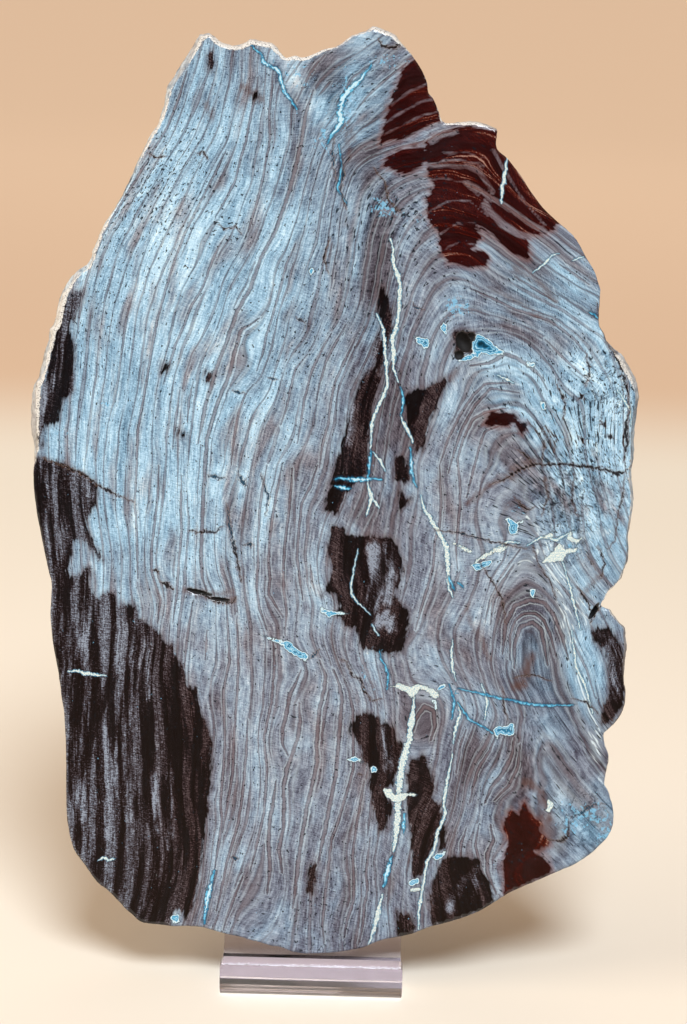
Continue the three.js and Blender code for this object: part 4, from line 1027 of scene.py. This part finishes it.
# Stains: the cells of the old wood took them up unevenly, in bands one ring wide and some 30 mm long.
pale = add(tree, "MapRange", {0: near["pale"], 1: -1.0, 2: 1.0})[0]
stain_tone = add(tree, "Math", {0: noises["band"], 1: 0.6, 2: noises["cell"]}, operation="MULTIPLY_ADD")[0]
stain_tone = add(tree, "MapRange", {0: stain_tone, 1: 0.7, 2: 0.86, 3: 0.14, 4: 0.68})[0]
for name, share in (("cell", 0.6), ("streak", 0.45), ("fine", 0.6), ("tick", 1.0), ("grit", 1.1)):
    middle = add(tree, "Math", {0: noises[name], 1: 0.5}, operation="SUBTRACT")[0]
    stain_tone = add(tree, "Math", {0: middle, 1: share, 2: stain_tone}, operation="MULTIPLY_ADD")[0]
red_tone = add(tree, "Math", {0: stain_tone, 1: 0.6, 2: 0.04}, operation="MULTIPLY_ADD")[0]
red_tone = add(tree, "Math", {0: edges, 1: 0.8, 2: red_tone}, operation="MULTIPLY_ADD")[0]
red_tone = add(tree, "Math", {0: marks["ember"], 1: 0.28, 2: red_tone}, operation="MULTIPLY_ADD")[0]
dark_tone = add(tree, "Math", {0: edges, 1: -0.45, 2: stain_tone}, operation="MULTIPLY_ADD")[0]
bluer = add(tree, "MapRange", {0: add(tree, "SeparateXYZ", {0: place})[0], 1: -48, 2: -72})[0]
bluer = add(tree, "Math", {0: bluer, 1: pale}, operation="MAXIMUM")[0]
deeper = add(tree, "MapRange", {0: bluer, 3: -0.24, 4: -0.06})[0]
dark_tone = add(tree, "Math", {0: pale, 1: 0.26, 2: dark_tone}, operation="MULTIPLY_ADD")[0]
dark_tone = add(tree, "Math", {0: dark_tone, 1: deeper}, operation="ADD")[0]
stains = {}
for name, reads, stops in (
    ("dark", dark_tone,
     ((0, "#060203"), (0.28, "#12070a"), (0.52, "#2e2123"), (0.76, "#4d4042"), (1, "#7d7073"))),
    ("dark_cool", dark_tone,
     ((0, "#080304"), (0.26, "#150b0e"), (0.5, "#383237"), (0.74, "#5f6370"), (1, "#909bab"))),
    ("red", red_tone,
     ((0, "#1a0000"), (0.35, "#280000"), (0.6, "#360300"), (0.78, "#521a0c"), (1, "#a08074"))),
):
    ramp = add(tree, "ValToRGB", {0: reads})[0]
    knots = ramp.node.color_ramp.elements
    while len(knots) < len(stops):
        knots.new(0.5)
    for knot, (at, tint) in zip(knots, stops):
        knot.position, knot.color = at, linear(tint)
    stains[name] = ramp
stains["dark"] = add(tree, "Mix", {0: bluer, 6: stains["dark"], 7: stains["dark_cool"]}, data_type="RGBA")[2]
banded = add(tree, "MapRange", {0: near["red_band"], 1: -0.35, 2: 0.25, 3: 1, 4: 0.3})[0]
for name, halo in (("dark", "#564646"), ("red", "#7c5248")):
    cover = add(tree, "MapRange", {0: near[name], 1: -1.8, 2: -0.1, 4: 0.45})[0]
    colour = add(tree, "Mix", {0: cover, 6: colour, 7: linear(halo)}, data_type="RGBA")[2]
    cover = add(tree, "MapRange", {0: near[name], 1: -0.25, 2: 0.45, 4: 0.98})[0]
    if name == "red":
        cover = add(tree, "Math", {0: cover, 1: banded}, operation="MULTIPLY")[0]
    colour = add(tree, "Mix", {0: cover, 6: colour, 7: stains[name]}, data_type="RGBA")[2]

# Small things: dark pits, sky-blue chalcedony in crumbs, and the fillings of veins and old holes.
near["speck"] = add(tree, "Math", {0: marks["speck"], 1: 0.1, 2: noises["pit"]}, operation="MULTIPLY_ADD")[0]
near["speck"] = add(tree, "Math", {0: noises["crumb"], 1: 0.3, 2: near["speck"]}, operation="MULTIPLY_ADD")[0]
blue = add(tree, "Math", {0: noises["crumb"], 1: 3, 2: marks["blue"]}, operation="MULTIPLY_ADD")[0]
near["blue"] = add(tree, "Math", {0: noises["grit"], 1: 0.8, 2: blue}, operation="MULTIPLY_ADD")[0]
near["hair"] = add(tree, "Math", {0: near["haze"], 1: 0.06, 2: noises["fine"]}, operation="MULTIPLY_ADD")[0]
filling = add(tree, "ValToRGB", {0: add(tree, "MapRange", {0: near["agate"], 1: 0, 2: 2.4})[0]})[0]
knots = filling.node.color_ramp.elements
for at, tint in ((0.05, "#cfe6ee"), (0.1, "#cfe6ee"), (0.18, "#3f93bd"), (0.28, "#5aa9cf"), (0.34, "#b4dcec"),
                 (0.4, "#3687b0"), (0.5, "#1d5f82"), (0.58, "#9fd2ea"), (0.66, "#3a8fbb"), (0.8, "#1a4f6b")):
    knots.new(at).color = linear(tint)
knots[0].color, knots[-1].color = linear("#1b2a34"), linear("#0e2e3d")
milk = add(tree, "MapRange", {0: noises["grit"], 1: 0.35, 2: 0.6})[0]
milk = add(tree, "Mix", {0: milk, 6: linear("#9fc3d0"), 7: linear("#e6ebe2")}, data_type="RGBA")[2]
chalky = add(tree, "MapRange", {0: noises["grit"], 1: 0.32, 2: 0.48})[0]
chalky = add(tree, "Mix", {0: chalky, 6: linear("#4a4644"), 7: linear("#dedcd6")}, data_type="RGBA")[2]
blued = add(tree, "MapRange", {0: noises["crumb"], 1: 0.47, 2: 0.53})[0]
blued = add(tree, "Mix", {0: blued, 6: linear("#2b7fa8"), 7: linear("#66bce2")}, data_type="RGBA")[2]
slit = add(tree, "MapRange", {0: marks["teal"], 1: 0.3, 2: 0.7})[0]
slit = add(tree, "Mix", {0: slit, 6: linear("#120d0f"), 7: linear("#173e55")}, data_type="RGBA")[2]
near["sunk"] = marks["sunk"]
for mask, none, full, most, tint in (
    # what the mask reads, where it is nought, where it is full, how much it covers, colour
    ("seam", 0.15, 0.02, 0.75, "#27272f"),
    ("blue", 2.55, 2.8, 0.75, "#7fbfe3"),
    ("hair", 0.58, 0.68, 0.75, "#dcebf0"),
    ("speck", 0.825, 0.86, 0.9, "#141a22"),
    ("white_vein", 0.75, 0.3, 0.5, "#2b2b31"),
    ("white_vein", 0.32, 0.14, 0.75, "#4f94b8"),
    ("white_vein", 0.14, -0.04, 0.97, milk),
    ("blue_vein", 0.8, 0.2, 0.7, "#16384e"),
    ("blue_vein", 0.2, -0.06, 0.92, blued),
    ("blue_vein", -0.2, -0.36, 0.8, "#cdeaf4"),
    ("agate", -0.45, 0, 0.6, "#1f3440"),
    ("agate", -0.04, 0.04, 1, filling),
    ("white", -0.35, -0.05, 0.7, "#39505e"),
    ("white", -0.06, 0.12, 0.97, milk),
    ("crack", 0.6, 0.1, 0.45, "#5a3d33"),
    ("crack", 0.08, -0.1, 0.92, slit),
    # Inside the hollows the colour is painted near black: painted shade deep in each recess.
    ("sunk", 0, 0.3, 0.97, "#070405"),
    ("rim", -0.15, 0.1, 0.9, chalky),
):
    cover = add(tree, "MapRange", {0: near[mask], 1: none, 2: full, 4: most})[0]
    tint = linear(tint) if isinstance(tint, str) else tint
    colour = add(tree, "Mix", {0: cover, 6: colour, 7: tint}, data_type="RGBA")[2]

# The natural wall is dull: brown-black, or chalky where the outermost wood weathered white.
wall_tone = add(tree, "ValToRGB", {0: noises["blotch"]})[0]
knots = wall_tone.node.color_ramp.elements
knots[0].position, knots[-1].position = 0.3, 0.72
knots[0].color, knots[-1].color = linear("#3a302d"), linear("#a39a92")
chalk_tone = add(tree, "MapRange", {0: noises["crumb"], 1: 0.3, 2: 0.6})[0]
chalk_tone = add(tree, "Mix", {0: chalk_tone, 6: linear("#a8a199"), 7: linear("#dcd8d0")}, data_type="RGBA")[2]
frosted = add(tree, "Math", {0: noises["blotch"], 1: 1.4, 2: marks["frost"]}, operation="MULTIPLY_ADD")[0]
frosted = add(tree, "MapRange", {0: frosted, 1: 1.0, 2: 1.35})[0]
wall_tone = add(tree, "Mix", {0: frosted, 6: wall_tone, 7: chalk_tone}, data_type="RGBA")[2]
on_wall = add(tree, "MapRange", {0: depth_at, 1: 0.02, 2: 0.9})[0]
at_back = add(tree, "MapRange", {0: depth_at, 1: 15.2, 2: 15.95})[0]
wall_only = add(tree, "Math", {0: on_wall, 1: at_back}, operation="SUBTRACT")[0]
wall_share = add(tree, "Math", {0: wall_only, 1: 0.55}, operation="MULTIPLY")[0]
colour = add(tree, "Mix", {0: wall_share, 6: colour, 7: wall_tone}, data_type="RGBA")[2]
dusty = add(tree, "Math", {0: at_back, 1: 0.35}, operation="MULTIPLY")[0]
colour = add(tree, "Mix", {0: dusty, 6: colour, 7: linear("#b5b1ac")}, data_type="RGBA")[2]
tree.links.new(colour, shade.inputs["Base Color"])

# The polish is a little uneven with the grain, and the weathered rim, the wall and the hollows are matt.
rough = add(tree, "MapRange", {0: noises["fine"], 1: 0.3, 2: 0.7, 3: 0.09, 4: 0.15})[0]
weathered = add(tree, "MapRange", {0: near["rim"], 1: 0, 2: 0.3})[0]
rough = add(tree, "Mix", {0: weathered, 2: rough, 3: 0.55})[0]
unpolished = add(tree, "Math", {0: on_wall, 1: marks["sunk"]}, operation="MAXIMUM")[0]
rough = add(tree, "Mix", {0: unpolished, 2: rough, 3: 0.8})[0]
tree.links.new(rough, shade.inputs["Roughness"])
shade.inputs["IOR"].default_value = 1.54
relief = add(tree, "Math", {0: noises["crumb"], 1: on_wall}, operation="MULTIPLY")[0]
grooves = add(tree, "MapRange", {0: near["crack"], 1: 0.25, 2: -0.1, 4: -0.6})[0]
relief = add(tree, "Math", {0: relief, 1: grooves}, operation="ADD")[0]
bump = add(tree, "Bump", {"Strength": 0.7, "Distance": 0.0006, "Height": relief})[0]
tree.links.new(bump, shade.inputs["Normal"])
slab.data.materials.append(polish)
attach(slab, "root")
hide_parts("petrified_wood_slab")

# The stand: one strip of clear acrylic sheet, 60 mm wide and 6 mm thick, sawn to length, its edges flame
# polished, then bent over a hot wire four times: a lip, a ledge, a panel that leans back, and a rear leg.
# It is drawn as its lip and lengthened bend by bend: the place of each bend is its own centre of turning.
STRIP = 0.006  # thickness of the sheet
FRONT_Y = -0.057025  # front of the lip
LEFT, RIGHT = -0.03249, 0.02751
TIGHT, WIDE = 0.0016, 0.004  # inside radii of the lower bends and of the bend at the top
LIP_TOP = 0.0134
PANEL_FAR = 0.031  # from the lip's front to where the panel rises out of the ledge
APEX_Z = 0.121  # where the middle lines of the panel and the leg would meet
LEG_FAR, LEG_UNDER = 0.114, 0.008  # where the leg's middle line would end, behind the lip and under the floor
LIP_CORNER, FLAMED = 0.0016, 0.00035  # rounding of the lip's corners and of every other edge
bpy.ops.object.select_all(action="DESELECT")
bend_z = STRIP + TIGHT
middle_x = (LEFT + RIGHT) / 2
bpy.ops.mesh.primitive_cube_add(size=1, location=(middle_x, FRONT_Y + STRIP / 2, (LIP_TOP + bend_z) / 2),
                                scale=(RIGHT - LEFT, STRIP, LIP_TOP - bend_z))
easel = bpy.context.object
easel.name = "acrylic_stand"
bpy.ops.object.transform_apply(location=True, rotation=True, scale=True)


def pick_end(thing, towards):
    """Selects only the flat end of the strip that faces one way and lies furthest along it."""
    bpy.ops.object.mode_set(mode="OBJECT")
    mesh = thing.data
    ends = [f for f in mesh.polygons if f.normal.dot(towards) > 0.999]
    far = max(f.center.dot(towards) for f in ends)
    for group in (mesh.vertices, mesh.edges, mesh.polygons):
        group.foreach_set("select", [False] * len(group))
    for f in ends:
        f.select = f.center.dot(towards) > far - 1e-6
    bpy.ops.object.mode_set(mode="EDIT")
    bpy.ops.mesh.select_mode(type="FACE")


# Each step: the angle that the strip's end faces (0 is back, 90 up), its turn, the inside radius of the
# bend, and the straight run that follows it.
panel_corner = PANEL_FAR - STRIP / 2 * math.tan(LEAN) + STRIP / 2 / math.cos(LEAN)
apex_y = panel_corner + (APEX_Z - STRIP / 2) * math.tan(LEAN)
leg_fall = math.degrees(math.atan2(APEX_Z + LEG_UNDER, LEG_FAR - apex_y))
lean_up = 90 - math.degrees(LEAN)


def shortening(turn, inside):
    """How much of a straight run each bend takes up."""
    return (inside + STRIP / 2) * math.tan(math.radians(abs(turn)) / 2)


ledge_run = panel_corner - STRIP / 2 - shortening(90, TIGHT) - shortening(lean_up, TIGHT)
panel_run = (APEX_Z - STRIP / 2) / math.cos(LEAN) - shortening(lean_up, TIGHT)
panel_run -= shortening(lean_up + leg_fall, WIDE)
leg_run = math.hypot(APEX_Z + LEG_UNDER, LEG_FAR - apex_y) - shortening(lean_up + leg_fall, WIDE)
facing = -90
for turn, inside, run in ((90, TIGHT, ledge_run), (lean_up, TIGHT, panel_run),
                          (-lean_up - leg_fall, WIDE, leg_run)):
    way = Vector((0, math.cos(math.radians(facing)), math.sin(math.radians(facing))))
    pick_end(easel, way)
    bpy.ops.object.mode_set(mode="OBJECT")
    end = next(f for f in easel.data.polygons if f.select).center.copy()
    left_of = Vector((0, -way.z, way.y)) * (1 if turn > 0 else -1)
    bpy.ops.object.mode_set(mode="EDIT")
    bpy.ops.mesh.spin(steps=max(6, int(abs(turn) / 9)), angle=-math.radians(turn), use_auto_merge=False,
                      center=end + left_of * (inside + STRIP / 2), axis=(1, 0, 0))
    facing += turn
    way = Vector((0, math.cos(math.radians(facing)), math.sin(math.radians(facing))))
    bpy.ops.mesh.extrude_region_move(TRANSFORM_OT_translate={"value": way * run})
bpy.ops.mesh.select_all(action="SELECT")
bpy.ops.mesh.bisect(plane_co=(0, 0, 0), plane_no=(0, 0, -1), use_fill=True, clear_outer=True)
bpy.ops.object.mode_set(mode="OBJECT")


def pick_edges(thing, wanted):
    """Selects only the edges for which wanted says yes, given their two ends and the faces' angle."""
    mesh = thing.data
    angles = {}
    for f in mesh.polygons:
        for key in f.edge_keys:
            angles.setdefault(key, []).append(f.normal)
    for group in (mesh.vertices, mesh.edges, mesh.polygons):
        group.foreach_set("select", [False] * len(group))
    for e in mesh.edges:
        sides = angles[e.key]
        sharp = len(sides) == 2 and sides[0].angle(sides[1]) > math.radians(40)
        e.select = sharp and wanted(*[mesh.vertices[i].co for i in e.vertices])
    bpy.ops.object.mode_set(mode="EDIT")
    bpy.ops.mesh.select_mode(type="EDGE")


# The lip's two upper corners are rounded off, and every arris is taken off a little by the flame.
pick_edges(easel, lambda p, q: min(p.z, q.z) > LIP_TOP - 1e-5 and abs(p.x - q.x) < 1e-6
           and max(p.y, q.y) < FRONT_Y + STRIP + 1e-5)
bpy.ops.mesh.bevel(offset=LIP_CORNER, segments=4, affect="EDGES")
bpy.ops.object.mode_set(mode="OBJECT")
pick_edges(easel, lambda p, q: True)
bpy.ops.mesh.bevel(offset=FLAMED, segments=2, affect="EDGES")
bpy.ops.mesh.select_all(action="SELECT")
bpy.ops.mesh.normals_make_consistent(inside=False)
bpy.ops.object.mode_set(mode="OBJECT")
only(easel)
bpy.ops.object.shade_smooth_by_angle(angle=math.radians(28))

# Clear cast acrylic (PMMA), refractive index 1.49: a bright, glassy shine, and a light haze of fine scratches
# and dust, because it has stood in use. Its pale violet colour, with a tenth of the sheet left milky, is
# painted light: it stands in for the lavender glow the sheet picks up from the stone and floor around it.
clear = bpy.data.materials.new("clear_cast_acrylic")
clear.use_nodes = True
tree = clear.node_tree
shade = tree.nodes["Principled BSDF"]
# The violet base colour and the tenth that is not clear are painted light, the glow picked up from the
# surroundings.
for socket, value in (("Base Color", linear("#ebe5ea")), ("Transmission Weight", 0.9), ("IOR", 1.49)):
    shade.inputs[socket].default_value = value
dust = add(tree, "TexNoise", {"Vector": add(tree, "TexCoord")["Object"], "Scale": 140, "Detail": 2})[0]
rough = add(tree, "MapRange", {0: dust, 1: 0.4, 2: 0.75, 3: 0.05, 4: 0.16})[0]
tree.links.new(rough, shade.inputs["Roughness"])
easel.data.materials.clear()
easel.data.materials.append(clear)

# Sawn acrylic: the lip's upper end was left as cut, so fine saw marks scatter the light and it looks satin.
sawn = bpy.data.materials.new("sawn_acrylic_end")
sawn.use_nodes = True
shade = sawn.node_tree.nodes["Principled BSDF"]
for socket, value in (("Base Color", linear("#b9adb9")), ("Transmission Weight", 0.5), ("IOR", 1.49),
                      ("Roughness", 0.5)):
    shade.inputs[socket].default_value = value
easel.data.materials.append(sawn)
for face in easel.data.polygons:
    if face.normal.z > 0.9 and face.center.z > LIP_TOP - 0.0003 and face.center.y < FRONT_Y + STRIP:
        face.material_index = 1
# Light passes through a sheet this clear and thin, so it throws next to no shadow.
easel.visible_shadow = False
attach(easel, "root")
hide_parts("acrylic_easel")

# The burr along the lip's upper front edge: where the saw left the acrylic, the edge was never flamed. It is a
# ragged line of tiny white splinters, half a millimetre wide, part of the sheet itself; its even white also
# stands in for the glint of light along that arris, a painted highlight.
BURR_AND_GLINT = 0.0002  # radius of the line before it is made ragged
RAGGED = 0.00034
bpy.ops.mesh.primitive_cylinder_add(vertices=8, radius=BURR_AND_GLINT, depth=RIGHT - LEFT - LIP_CORNER,
                                    end_fill_type="NGON", rotation=(0, math.radians(90), 0),
                                    location=(middle_x, FRONT_Y + 0.00056, LIP_TOP - 0.0003))
burr_and_glint = bpy.context.object
burr_and_glint.name = "lip_edge_burr_and_painted_glint"
bpy.ops.object.transform_apply(location=True, rotation=True, scale=True)
pick_edges(burr_and_glint, lambda p, q: abs(p.x - q.x) > 0.01)
bpy.ops.mesh.subdivide(number_cuts=140)
bpy.ops.mesh.select_all(action="SELECT")
bpy.ops.transform.vertex_random(offset=RAGGED, uniform=0.3, normal=0.3, seed=4)
bpy.ops.mesh.normals_make_consistent(inside=False)
bpy.ops.object.mode_set(mode="OBJECT")

# Crushed acrylic: the same clear plastic, but every splinter scatters light, so it looks white and matt; the
# white is partly a painted highlight for the glint along the arris.
crushed_and_glint = bpy.data.materials.new("crushed_acrylic_and_painted_glint")
crushed_and_glint.use_nodes = True
shade = crushed_and_glint.node_tree.nodes["Principled BSDF"]
shade.inputs["Base Color"].default_value = linear("#eef0f6")
shade.inputs["Roughness"].default_value = 0.6
burr_and_glint.data.materials.append(crushed_and_glint)
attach(burr_and_glint, "root")

# The floor: a plain pale sheet that runs far back, so that nothing else shows behind the stone. It is
# cream where the stone stands and turns to warm tan further off, as paper does where less light falls.
bpy.ops.mesh.primitive_plane_add(size=80, location=(0, 30, -0.0001))
floor = bpy.context.object
floor.name = "floor"
paper = bpy.data.materials.new("pale_cream_paper")
paper.use_nodes = True
tree = paper.node_tree
away = add(tree, "SeparateXYZ", {0: add(tree, "TexCoord")["Object"]})[1]
ramp = add(tree, "ValToRGB", {0: add(tree, "MapRange", {0: away, 1: -30.1, 2: -27.4})[0]})[0]
ramp.node.color_ramp.interpolation = "EASE"
knots = ramp.node.color_ramp.elements
knots.new(0.3).color = linear("#d8d0c0")
knots.new(0.42).color = linear("#caae92")
knots[0].color, knots[-1].color = linear("#e6dfd2"), linear("#dec2a4")
shade = tree.nodes["Principled BSDF"]
tree.links.new(ramp, shade.inputs["Base Color"])
shade.inputs["Roughness"].default_value = 0.9
floor.data.materials.append(paper)

# Soft studio light: a broad main light from the front right, above, and weaker ones from the left and from
# behind. The room is lit from above and behind, and dark where the polished face would mirror it.
bpy.ops.object.light_add(type="SUN", location=(1, -1, 2))
lamp = bpy.context.object
lamp.name = "main_light"
lamp.rotation_euler = Vector((-0.13, 0.58, -0.8)).to_track_quat("-Z", "Y").to_euler()
lamp.data.angle = math.radians(24)
lamp.data.energy = 3.0
lamp.data.color = (0.9, 0.97, 1.03)
for name, place_of, aim, size, power, tint in (
    ("left_light", (-1.4, -0.3, 0.9), (0, 0, 0.16), 1.0, 13, (1, 0.88, 0.74)),
    ("back_light", (0.3, 1.5, 1.6), (0, 0, 0.1), 1.2, 5, (1, 0.95, 0.9)),
):
    bpy.ops.object.light_add(type="AREA", location=place_of)
    lamp = bpy.context.object
    lamp.name = name
    lamp.rotation_euler = (Vector(aim) - Vector(place_of)).to_track_quat("-Z", "Y").to_euler()
    lamp.data.size = size
    lamp.data.energy = power
    lamp.data.color = tint
world = bpy.data.worlds.new("warm_room")
bpy.context.scene.world = world
world.use_nodes = True
tree = world.node_tree
room_light = tree.nodes["Background"]
room_light.inputs["Color"].default_value = linear("#ecbd90")
overhead = add(tree, "SeparateXYZ", {0: add(tree, "TexCoord")["Generated"]})[2]
above = add(tree, "MapRange", {0: overhead, 1: 0.4, 2: 0.9, 3: 0.05, 4: 0.7})[0]
level = add(tree, "MapRange", {0: overhead, 1: 0.3, 2: 0.1, 4: 0.25})[0]
tree.links.new(add(tree, "Math", {0: above, 1: level}, operation="ADD")[0], room_light.inputs["Strength"])
